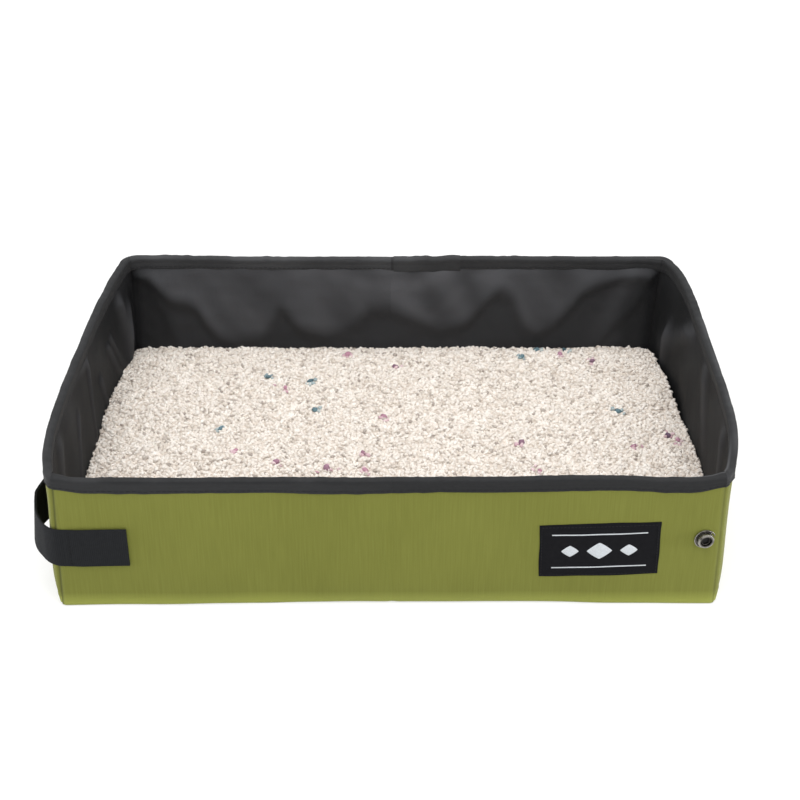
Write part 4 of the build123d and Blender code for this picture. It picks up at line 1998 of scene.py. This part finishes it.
    def stitches(self, face: Face) -> None:
        """Box of stitches through a sewn end.

        Args:
            face: Which wall.
        """
        inset, middle, half = self.stitch_inset, self.middle_height, self.width / 2
        left, right = -self.seam + inset, -self.sewn_start - inset
        low, high = middle - half + inset, middle + half - inset
        y = face.value * (self.body.form.half_width + self.thickness + 0.0005)
        corners = ((right, low), (right, high), (left, high), (left, low), (right, low))
        box = np.array([(x, y, z) for x, z in corners])
        outs = np.tile((0.0, float(face.value), 0.0), (len(box), 1))
        piece = StitchMaker(0.0022, 0.00016, 0.0030).along(f"strap_{face.label}_stitches", box, outs)
        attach(piece, self.body.wall(face, Side.LEFT))
        dress(piece, self.body.finishes.black_thread)

    def build(self) -> None:
        """Build the loop's two halves, the sewn ends and their stitches."""
        for face in Face:
            for make in (self.loop, self.sewn_end, self.stitches):
                make(face)


# Snap fastener

# Insets and lifts of a disc's outer face, each with its distance
Steps = tuple[tuple[str, float], ...]


@dataclass
class Snap:
    """Snap fastener: ringed socket on the front wall, cap and stud on the strap."""

    body: Body
    place: Point = (0.2245, -0.1752, 0.0593)
    facing: Point = (0.12, -1, -0.05)
    flange: float = 0.0078
    ring: float = 0.0059
    bore: float = 0.0040
    cap_radius: float = 0.0065
    stud_radius: float = 0.0055
    blank: float = 0.0008
    wire: float = 0.00042
    film_share: float = 0.94
    groove_shade_share: float = 0.85
    cap_steps: Steps = (("inset", 0.0010), ("lift", 0.0006), ("inset", 0.0016), ("lift", 0.0002))
    stud_steps: Steps = (
        ("inset", 0.0016), ("lift", 0.0010), ("inset", 0.0004), ("lift", 0.0003), ("inset", -0.0004),
        ("lift", 0.0010), ("inset", 0.0006), ("lift", 0.0003),
    )

    def turned(self, name: str, radius: float, steps: Steps, round_off: float) -> Piece:
        """Shape a disc by insets and lifts of its outer face, looking along Z.

        Args:
            name: Name of the piece.
            radius: Radius of the disc.
            steps: The insets and lifts, in order.
            round_off: Radius of the edges.

        Returns:
            The piece, on the origin.
        """
        deselect()
        bpy.ops.mesh.primitive_cylinder_add(
            vertices=64, radius=radius, depth=self.blank, location=(0, 0, self.blank / 2)
        )
        piece = bpy.context.object
        piece.name = name
        bpy.ops.object.transform_apply(location=True, rotation=True, scale=True)
        for polygon in piece.data.polygons:
            polygon.select = polygon.normal.z > 0.9
        bpy.ops.object.mode_set(mode="EDIT")
        bpy.ops.mesh.select_mode(type="FACE")
        for kind, distance in steps:
            if kind == "inset":
                bpy.ops.mesh.inset(thickness=distance)
            else:
                bpy.ops.mesh.extrude_region_move(TRANSFORM_OT_translate={"value": (0, 0, distance)})
        bpy.ops.object.mode_set(mode="OBJECT")
        bevel = piece.modifiers.new("edges", "BEVEL")
        bevel.width, bevel.segments = round_off, 4
        bevel.limit_method, bevel.angle_limit = "ANGLE", radians(35)
        apply_all(piece)
        bpy.ops.object.shade_smooth_by_angle(angle=radians(40))
        return piece

    def paint_hollow_shade(self, piece: Piece, inner: float, groove: float) -> None:
        """Paint shade into the bore, and into the groove at the foot of the ring.

        Args:
            piece: The socket or its spring, on the origin.
            inner: Radius of the bore.
            groove: Height that the groove reaches.
        """
        hollow_shade = piece.data.attributes.new("hollow_shade", "FLOAT", "POINT")
        reach = self.flange - 0.0004
        shares = []
        for vertex in piece.data.vertices:
            radius = Vector(vertex.co.xy).length
            in_groove = vertex.co.z < groove and radius < reach
            shares.append(self.film_share if radius < inner else self.groove_shade_share if in_groove else 0.0)
        hollow_shade.data.foreach_set("value", shares)

    def wires(self, name: str, radius: float) -> Piece:
        """Two spring wires across a socket's bore.

        Args:
            name: Name of the piece.
            radius: Radius of their ring before it is drawn in.

        Returns:
            The wires, on the origin.
        """
        deselect()
        bpy.ops.mesh.primitive_torus_add(
            major_radius=radius, minor_radius=self.wire, major_segments=48, minor_segments=8
        )
        ring = bpy.context.object
        ring.name = name
        bpy.ops.object.mode_set(mode="EDIT")
        bpy.ops.mesh.select_all(action="SELECT")
        bpy.ops.transform.resize(value=(1, 0.86, 1))
        bpy.ops.object.mode_set(mode="OBJECT")
        bpy.ops.object.shade_smooth()
        return ring

    def fit(
        self,
        piece: Piece,
        place: Vector,
        out: Vector,
        body: str,
        node: str = "",
        finish: Finish | None = None,
    ) -> None:
        """Set a piece that looks along Z at its place, carry it and dress it.

        Args:
            piece: The piece, on the origin.
            place: Where it goes.
            out: Where it looks.
            body: Body that carries it.
            node: Node that it stands for, if any.
            finish: Its finish, where that isn't nickel.
        """
        turn = out.to_track_quat("Z", "X").to_matrix().to_4x4()
        piece.data.transform(Matrix.Translation(place) @ turn)
        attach(piece, body)
        if node:
            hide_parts(node)
        dress(piece, finish or self.body.finishes.nickel)

    def socket(self) -> None:
        """Build the socket on the front wall: ring, a dark disc of painted shade at the floor of the bore,
        and spring.
        """
        place, out = Vector(self.place), Vector(self.facing).normalized()
        steps = (
            ("inset", 0.0009), ("lift", -0.0004), ("inset", self.flange - self.ring - 0.0009),
            ("lift", 0.0030), ("inset", 0.0003), ("lift", 0.0006),
            ("inset", self.ring - self.bore - 0.0003), ("lift", -0.0034),
        )
        ring = self.turned("snap_socket_ring", self.flange, steps, 0.00026)
        self.paint_hollow_shade(ring, self.bore + 0.0002, 0.0009)
        self.fit(ring, place, out, "front_right", "snap_socket")
        # Dark disc of painted shade at the floor of the bore
        floor = (("inset", 0.0012), ("lift", -0.0003))
        bore_shade = self.turned("snap_socket_bore_shade", self.bore - 0.0001, floor, 0.0001)
        self.fit(bore_shade, place + out * 0.0002, out, "front_right", "", self.body.finishes.bore_shade)
        spring = self.wires("snap_socket_spring", self.bore - 0.0005)
        # Painted shade over the whole spring, which sits in the bore
        self.paint_hollow_shade(spring, 1, 1)
        self.fit(spring, place + out * 0.0024, out, "front_right")

    def build(self) -> None:
        """Build the socket on the wall, then the cap and stud on the strap."""
        self.socket()
        handle = Handle(self.body)
        line = handle.path(Face.FRONT)
        strap_x = float(np.interp(handle.stud_y, line[:, 1], line[:, 0]))
        strap = Vector((strap_x, handle.stud_y, handle.middle_height))
        half = handle.thickness / 2
        cap = self.turned("snap_cap_dome", self.cap_radius, self.cap_steps, 0.0004)
        self.fit(cap, strap - Vector((half, 0, 0)), Vector((-1, 0, 0)), "base_left", "snap_cap")
        stud = self.turned("snap_stud_post", self.stud_radius, self.stud_steps, 0.0002)
        self.fit(stud, strap + Vector((half, 0, 0)), Vector((1, 0, 0)), "base_left", "snap_stud")
        paint(self.body.nodes["snap_washer"], self.body.finishes.nickel)


# Label


@dataclass
class Label:
    """Woven label sewn to the front, with a plain motif of lozenges between rules."""

    body: Body
    length: float = 0.0858
    height: float = 0.0455
    x: float = 0.1500
    z: float = 0.0498
    tilt: float = radians(1.8)
    thickness: float = 0.0008
    lozenges: tuple[tuple[float, float], ...] = ((-0.021, 0.0050), (0.0, 0.0072), (0.021, 0.0050))
    swell: float = 1.15
    rule_level: float = 0.0145
    rule_reach: float = 0.034
    rule_half: float = 0.00045
    stitch_inset: float = 0.0016

    def lay(self, u: Array, v: Array, lift: Any) -> Array:
        """Places on the front cloth for points of the label's own plane.

        Args:
            u: Distance along the label from its middle.
            v: Distance up the label from its middle.
            lift: Height above the cloth.

        Returns:
            Places, with one more axis than the inputs.
        """
        x = self.x + u * cos(self.tilt) - v * sin(self.tilt)
        z = self.z + u * sin(self.tilt) + v * cos(self.tilt)
        form = self.body.form
        y = -(form.half_width + form.wall_out(Face.FRONT, x, z) + lift + 0.00015 * ripple(x, z, 3, 0.03))
        return beside(x, y, z)

    def cloth(self) -> None:
        """The label's woven cloth, with soft edges."""
        u, v = np.meshgrid(np.linspace(-1, 1, 60), np.linspace(-1, 1, 34))
        long, tall = self.length / 2, self.height / 2
        edge = np.minimum((1 - np.abs(u)) * self.length / 2, (1 - np.abs(v)) * self.height / 2)
        wobble = 0.00035 * ripple(u * 0.04, v * 0.02, 21, 0.030)
        arch = 0.0012 * (1 - u**2) * clipped(v)
        points = self.lay(u * (long + wobble), v * (tall + wobble) + arch, 0)
        points[..., 1] -= self.thickness - 0.0004 * np.exp(-edge / 0.0006)
        piece = cloth_sheet("label_cloth", points, beside(u * long, v * tall), (0, -1, 0), self.thickness)
        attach(piece, "front_right")
        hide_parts("label")
        dress(piece, self.body.finishes.label)

    def patch(self, name: str, corners: Array, rounds: int) -> None:
        """One raised patch of embroidery.

        Args:
            name: Name of the piece.
            corners: Outline in the label's own plane, one row for each corner.
            rounds: How many rings of faces lie between its edge and its middle.
        """
        middle = corners.mean(0)
        share = np.linspace(1, 0.02, rounds + 1)[:, None, None]
        spread = middle + (np.concatenate([corners, corners[:1]]) - middle) * share
        dome = np.sin(clipped((1 - share[..., 0]) * 3) * pi / 2)
        points = self.lay(spread[..., 0], spread[..., 1], 0)
        points[..., 1] -= self.thickness + 0.00035 * dome
        piece = cloth_sheet(name, points, spread, (0, -1, 0), 0.0003)
        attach(piece, "front_right")
        dress(piece, self.body.finishes.motif)

    def stitches(self) -> None:
        """Stitches round the label's edge."""
        half, tall = self.length / 2 - self.stitch_inset, self.height / 2 - self.stitch_inset
        corners = np.array([(-half, -tall), (half, -tall), (half, tall), (-half, tall), (-half, -tall)])
        share = np.linspace(0, 1, 24, endpoint=False)[:, None]
        sides = [start + (end - start) * share for start, end in zip(corners, corners[1:])]
        flat = np.concatenate([*sides, corners[:1]])
        line = self.lay(flat[:, 0], flat[:, 1], self.thickness + 0.0001)
        outs = np.tile((0.0, -1.0, 0.0), (len(line), 1))
        piece = StitchMaker(0.0018, 0.00016, 0.0026).along("label_stitches", line, outs)
        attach(piece, "front_right")
        dress(piece, self.body.finishes.dark_thread)

    def build(self) -> None:
        """Build the cloth, the motif and the stitches round the edge."""
        self.cloth()
        turns = np.linspace(0, 2 * pi, 40, endpoint=False)
        power = self.swell
        reach = (np.abs(np.cos(turns)) ** power + np.abs(np.sin(turns)) ** power) ** (1 / power)
        for index, (middle, size) in enumerate(self.lozenges):
            corners = beside(middle + 1.25 * (size / reach) * np.cos(turns), size / reach * np.sin(turns))
            self.patch(f"label_lozenge_{index + 1}", corners, 5)
        x = np.linspace(-self.rule_reach, self.rule_reach, 24)
        for name, level in (("upper", self.rule_level), ("lower", -self.rule_level)):
            top, bottom = beside(x, level + self.rule_half), beside(x[::-1], level - self.rule_half)
            self.patch(f"label_{name}_rule", np.concatenate([top, bottom]), 2)
        self.stitches()


# Litter


@dataclass
class Litter:
    """Layer of granules: a closed bed, a skin of loose granules, and a few coloured ones."""

    body: Body
    level: float = 0.0244
    spacing: float = 0.00282
    radius: float = 0.00176
    seed: int = 4
    cluster: tuple[tuple[float, float], ...] = (
        (1.6, 0.0), (1.15, 0.0022), (1.1, 0.0028), (1.0, 0.0034), (0.95, 0.0040),
    )
    blue_groups: tuple[tuple[float, float], ...] = (
        (0.135, 0.161), (0.120, 0.142), (0.161, 0.160), (0.195, 0.049), (-0.106, 0.107), (-0.069, 0.099),
        (-0.063, 0.054), (-0.141, 0.024), (-0.040, -0.090), (0.070, -0.120),
    )
    violet_groups: tuple[tuple[float, float], ...] = (
        (0.239, 0.005), (0.232, 0.012), (-0.004, 0.043), (0.200, -0.005), (0.155, 0.147), (-0.021, -0.014),
        (0.183, 0.134), (-0.050, -0.037), (0.006, 0.125), (-0.090, 0.088), (-0.091, -0.027), (0.109, 0.001),
        (0.121, -0.038), (-0.126, -0.010), (-0.019, -0.038), (-0.037, 0.151), (-0.160, -0.080),
        (0.060, -0.100), (0.170, -0.120),
    )
    row_share: float = 0.866
    jitter: float = 0.42
    wall_gap: float = 0.0014
    bands: int = 3
    corner: float = 0.009

    def height(self, x: Array, y: Array) -> Array:
        """Height of the litter's surface, lower along the back.

        Args:
            x: Places along X.
            y: Places along Y.

        Returns:
            Heights above the floor.
        """
        soft = 0.0012 * ripple(x, y, 61, 0.085) + 0.0006 * ripple(x, y, 62, 0.028)
        back = clipped((y - 0.120) / 0.045)
        dip = 0.0038 + 0.0015 * bell(x - 0.145, 0.035)
        return self.level + soft - dip * back**2

    def reach(self, side: Side, y: Array, inset: float) -> Array:
        """How far the litter reaches towards an end, a little less at the back of the right one.

        Args:
            side: Which end.
            y: Places along it.
            inset: How far it stays off the liner.

        Returns:
            Distances along X, all above 0.
        """
        form = self.body.form
        level = np.full(np.shape(y), self.level)
        gap = np.interp(y, (0, 0.09), (0, 0.0042)) if side is Side.RIGHT else 0 * y
        return form.half_length + form.bow(side, y, level) - form.wall - inset - gap

    def inside(self, x: Array, y: Array, inset: float) -> Array:
        """Whether places lie inside the liner, with its rounded corners.

        Args:
            x: Places along X.
            y: Places along Y.
            inset: How far inside they have to lie.

        Returns:
            True where they do.
        """
        form, corner = self.body.form, self.corner
        left, right = (self.reach(side, y, inset) for side in Side)
        over_x = np.maximum(x - (right - corner), -x - (left - corner))
        over_y = np.abs(y) - (form.half_width - form.wall - inset - corner)
        return np.hypot(np.maximum(over_x, 0), np.maximum(over_y, 0)) < corner

    def bed(self, side: Side) -> None:
        """Closed bed under the granules of one half.

        Args:
            side: Which half.
        """
        form, rows, bend = self.body.form, 80, 0.0092
        edge = form.half_width - form.wall - 0.0012
        y = np.linspace(-edge, edge, 110)
        bent = np.clip(np.abs(y) - (form.half_width - form.wall - 0.010), 0, 0.0088)
        end = side.value * self.reach(side, y, 0.0016) - side.value * (bend - np.sqrt(bend**2 - bent**2))
        start = form.crease + side.value * 0.0001
        x = start + (end - start) * np.linspace(0, 1, rows)[:, None]
        y = np.tile(y, (rows, 1))
        points = beside(x, y, self.height(x, y) - 0.0005)
        tones = np.random.default_rng(self.seed).uniform(0, 1, x.shape)
        piece = cloth_sheet(f"litter_{side.label}_bed", points, beside(x, y), (0, 0, 1), 0.0180, tones)
        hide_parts(f"litter_{side.label}")
        self.settle(piece, side, self.body.finishes.bed)

    def granule(self) -> Piece:
        """Model one granule: a small lump of twenty faces.

        Returns:
            The granule, of radius 1.
        """
        deselect()
        bpy.ops.mesh.primitive_ico_sphere_add(subdivisions=1, radius=1)
        lump = bpy.context.object
        bpy.ops.object.mode_set(mode="EDIT")
        bpy.ops.mesh.select_all(action="SELECT")
        bpy.ops.transform.resize(value=(1.28, 0.98, 0.68))
        bpy.ops.mesh.select_all(action="DESELECT")
        bpy.ops.object.mode_set(mode="OBJECT")
        for vertex in lump.data.vertices:
            vertex.select = vertex.co.z > 0.5 and vertex.co.x > 0
        bpy.ops.object.mode_set(mode="EDIT")
        bpy.ops.transform.translate(value=(0.12, 0.0, -0.16))
        bpy.ops.object.mode_set(mode="OBJECT")
        return lump

    def lay(
        self,
        name: str,
        model: Piece,
        spots: Array,
        sizes: Array,
        draw: np.random.Generator,
        tones: Array,
    ) -> Piece:
        """Lay granules flat with random turns.

        Args:
            name: Name of the piece.
            model: One granule of radius 1.
            spots: Middle of each granule.
            sizes: Radius of each granule.
            draw: Source of the random turns.
            tones: Tone of each granule.

        Returns:
            The granules as one piece.
        """
        w, x, y, z = unit(draw.normal(size=(len(spots), 4)) * (1, 0.3, 0.3, 1)).T
        rotation = np.stack(
            [
                np.stack([1 - 2 * (y * y + z * z), 2 * (x * y - z * w), 2 * (x * z + y * w)], -1),
                np.stack([2 * (x * y + z * w), 1 - 2 * (x * x + z * z), 2 * (y * z - x * w)], -1),
                np.stack([2 * (x * z - y * w), 2 * (y * z + x * w), 1 - 2 * (x * x + y * y)], -1),
            ],
            1,
        )
        shapes = draw.uniform(0.82, 1.2, (len(spots), 1, 3))
        places = np.concatenate([rotation * shapes * sizes[:, None, None], spots[:, :, None]], 2)
        return copies(name, model, places, tones)

    def settle(self, piece: Piece, side: Side, finish: Finish) -> None:
        """Carry litter on its half of the base, and dress it. It is tipped out before the box folds.

        Args:
            piece: The piece of litter.
            side: Which half it lies on.
            finish: Its finish.
        """
        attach(piece, self.body.base(side))
        self.body.fold_joint(Face.FRONT, side)
        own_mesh(piece)
        dress(piece, finish)

    def skin(self, draw: np.random.Generator) -> tuple[Array, Array, Array]:
        """Scatter the loose granules.

        Args:
            draw: Source of the random places.

        Returns:
            Middle, radius and tone of each granule.
        """
        form = self.body.form
        rows = int(2 * form.half_width / (self.spacing * self.row_share))
        lanes = int(0.52 / self.spacing)
        i, j = np.meshgrid(np.arange(lanes), np.arange(rows))
        x = (i + 0.5 * (j % 2)).ravel() * self.spacing - 0.26
        y = j.ravel() * self.spacing * self.row_share - form.half_width
        x = x + draw.uniform(-self.jitter, self.jitter, len(x)) * self.spacing
        y = y + draw.uniform(-self.jitter, self.jitter, len(y)) * self.spacing
        keep = self.inside(x, y, self.wall_gap) & (draw.random(len(x)) > 0.05)
        x, y = x[keep], y[keep]
        extra = draw.random(len(x)) < 0.08
        x = np.concatenate([x, x[extra] + 0.0011])
        y = np.concatenate([y, y[extra] + 0.0009])
        low = draw.uniform(-0.0005, 0.0004, len(extra))
        lift = np.concatenate([low, draw.uniform(0.0008, 0.0014, extra.sum())])
        keep = self.inside(x, y, self.wall_gap)
        x, y, lift = x[keep], y[keep], lift[keep]
        spots = beside(x, y, self.height(x, y) - 0.0003 + lift)
        return spots, self.radius * draw.uniform(0.74, 1.22, len(x)), draw.random(len(x))

    def tinted(
        self, groups: tuple[tuple[float, float], ...], side: Side, draw: np.random.Generator
    ) -> tuple[Array, Array, Array]:
        """Scatter a cluster of coloured granules round each of some places on one half.

        Args:
            groups: The places.
            side: Which half.
            draw: Source of the random places.

        Returns:
            Middle, radius and tone of each granule.
        """
        spots, sizes = [], []
        crease = self.body.form.crease
        for group in (group for group in groups if (group[0] - crease) * side.value >= 0):
            for size, reach in self.cluster:
                place = np.array(group) + draw.normal(0, reach, 2) * (reach > 0)
                if (place[0] - crease) * side.value > 0.003 and self.inside(*place, 0.002):
                    spots.append((*place, float(self.height(*place)) + 0.0008))
                    sizes.append(size * self.radius)
        big = np.array(sizes) > 1.5 * self.radius
        tones = np.where(big, draw.uniform(0, 0.35, len(sizes)), draw.uniform(0.5, 1, len(sizes)))
        return np.array(spots), np.array(sizes), tones

    def build(self) -> None:
        """Build the beds, the skin of granules in several pieces, and the coloured granules."""
        form, finishes = self.body.form, self.body.finishes
        for side in Side:
            self.bed(side)
        draw = np.random.default_rng(self.seed)
        spots, sizes, tones = self.skin(draw)
        model = self.granule()
        for side in Side:
            half = (spots[:, 0] - form.crease) * side.value > 0
            for band in range(self.bands):
                low = -form.half_width + band * 2 * form.half_width / self.bands
                high = low + 2 * form.half_width / self.bands
                pick = half & (spots[:, 1] >= low) & (spots[:, 1] < high)
                name = f"litter_{side.label}_granules_{band + 1}"
                piece = self.lay(name, model, spots[pick], sizes[pick], draw, tones[pick])
                self.settle(piece, side, finishes.granules)
        tints = (("blue", self.blue_groups, finishes.blue), ("violet", self.violet_groups, finishes.violet))
        for name, groups, finish in tints:
            for side in Side:
                some, radii, shades = self.tinted(groups, side, draw)
                piece = self.lay(f"litter_{side.label}_{name}_granules", model, some, radii, draw, shades)
                self.settle(piece, side, finish)
        bpy.data.objects.remove(model)


# Studio


@dataclass
class Studio:
    """Pale floor, soft lamps, white surround and the camera."""

    lens: float = 66.93
    place: Point = (0.0001, -1.0216, 0.6985)
    down: float = radians(31.705)
    yaw: float = radians(0.50)
    roll: float = radians(0.15)
    surround: float = 0.55
    floor_colour: Colour = (0.80, 0.80, 0.80)
    shadow_colour: Colour = (0.42, 0.42, 0.42)
    aim: Point = (0, 0, 0.05)
    lamps: tuple[tuple[str, Point, float, float], ...] = (
        ("key_lamp", (-0.7, -1.2, 1.5), 1.2, 8),
        ("fill_lamp", (0.9, -1.1, 1.2), 1.2, 6.6),
        ("top_lamp", (0.0, -0.15, 1.7), 1.5, 22),
        ("left_edge_lamp", (-1.4, -0.40, 0.16), 0.30, 5.5),
        ("right_edge_lamp", (1.4, -0.40, 0.16), 0.30, 7.5),
    )

    def camera(self) -> None:
        """Set the camera where the photograph was taken from."""
        data = bpy.data.cameras.new("camera")
        data.lens, data.sensor_width = self.lens, 36
        data.clip_start, data.clip_end = 0.05, 20
        camera = bpy.data.objects.new("camera", data)
        bpy.context.collection.objects.link(camera)
        forward = Vector((sin(self.yaw) * cos(self.down), cos(self.yaw) * cos(self.down), -sin(self.down)))
        right = Vector((cos(self.yaw), -sin(self.yaw), 0))
        up = right.cross(forward)
        x = cos(self.roll) * right + sin(self.roll) * up
        y = -sin(self.roll) * right + cos(self.roll) * up
        turn = Matrix((x, y, -forward)).transposed().to_4x4()
        camera.matrix_world = Matrix.Translation(self.place) @ turn
        bpy.context.scene.camera = camera

    def lamp(self, name: str, place: Point, size: float, power: float) -> None:
        """Add a square soft lamp that looks at the box.

        Args:
            name: Name of the lamp.
            place: Where it stands.
            size: Length of its side.
            power: Its power in watts.
        """
        data = bpy.data.lights.new(name, "AREA")
        data.size, data.energy = size, power
        lamp = bpy.data.objects.new(name, data)
        bpy.context.collection.objects.link(lamp)
        lamp.location = place
        aim = Vector(self.aim) - Vector(place)
        lamp.rotation_euler = aim.to_track_quat("-Z", "Y").to_euler()

    def white_to_lens(self, g: Graph) -> Socket:
        """Tell the rays of the camera, a mirror or glass from all the others.

        Args:
            g: Tree of the floor or of the surround.

        Returns:
            1 for those rays, and 0 elsewhere.
        """
        rays = g.add("LightPath")
        seen = g.math("MAXIMUM", rays.outputs["Is Camera Ray"], rays.outputs["Is Glossy Ray"])
        return g.math("MAXIMUM", seen, rays.outputs["Is Transmission Ray"])

    def floor(self) -> None:
        """Pale floor that keeps the box's shadow and looks white to the camera."""
        deselect()
        bpy.ops.mesh.primitive_plane_add(size=8, location=(0, 0, -0.0004))
        floor = bpy.context.object
        floor.name = "floor"
        bpy.ops.object.transform_apply(location=True)
        g = Graph("pale_floor")
        material = g.surface(Base_Color=self.floor_colour, Roughness=0.9, Specular_IOR_Level=0.1)
        far = g.add("VectorMath", operation="LENGTH")
        g.plug(far.inputs[0], g.place())
        glow, dim = g.add("Emission"), g.add("BsdfDiffuse")
        g.feed(glow, Color=(1.0, 1.0, 1.0), Strength=g.spread(far.outputs["Value"], (0.7, 1.8), (0.62, 1.0)))
        g.feed(dim, Color=self.shadow_colour)
        lit, choice = g.add("AddShader"), g.add("MixShader")
        for node, inputs in (
            (lit, (dim.outputs[0], glow.outputs[0])),
            (choice, (self.white_to_lens(g), g.shader.outputs[0], lit.outputs[0])),
            (g.tree.nodes["Material Output"], (choice.outputs[0],)),
        ):
            for target, value in zip(node.inputs, inputs):
                g.plug(target, value)
        floor.data.materials.append(material)

    def world(self) -> None:
        """Even surround: white to the camera, softer as a light."""
        g = Graph("surround", world=True)
        level = g.spread(self.white_to_lens(g), (0.0, 1.0), (self.surround, 1.0))
        bpy.context.scene.world = g.surface(Color=(1.0, 1.0, 1.0), Strength=level)

    def build(self) -> None:
        """Set up the studio."""
        bpy.context.scene.view_settings.view_transform = "Standard"
        self.camera()
        self.floor()
        self.world()
        for lamp in self.lamps:
            self.lamp(*lamp)
        log.info("studio: lamps, floor, surround and camera")


def main() -> None:
    """Build the box over its frame."""
    logging.basicConfig(level=logging.INFO, format="%(message)s")
    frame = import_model()
    body = Body(BoxForm(), Finishes(), frame["nodes"])
    for part in (StiffWalls, SoftEnds, Base, RimTape, Handle, Snap, Label, Litter):
        part(body).build()
    Studio().build()
    bpy.context.view_layer.update()


if __name__ == "__main__":
    main()
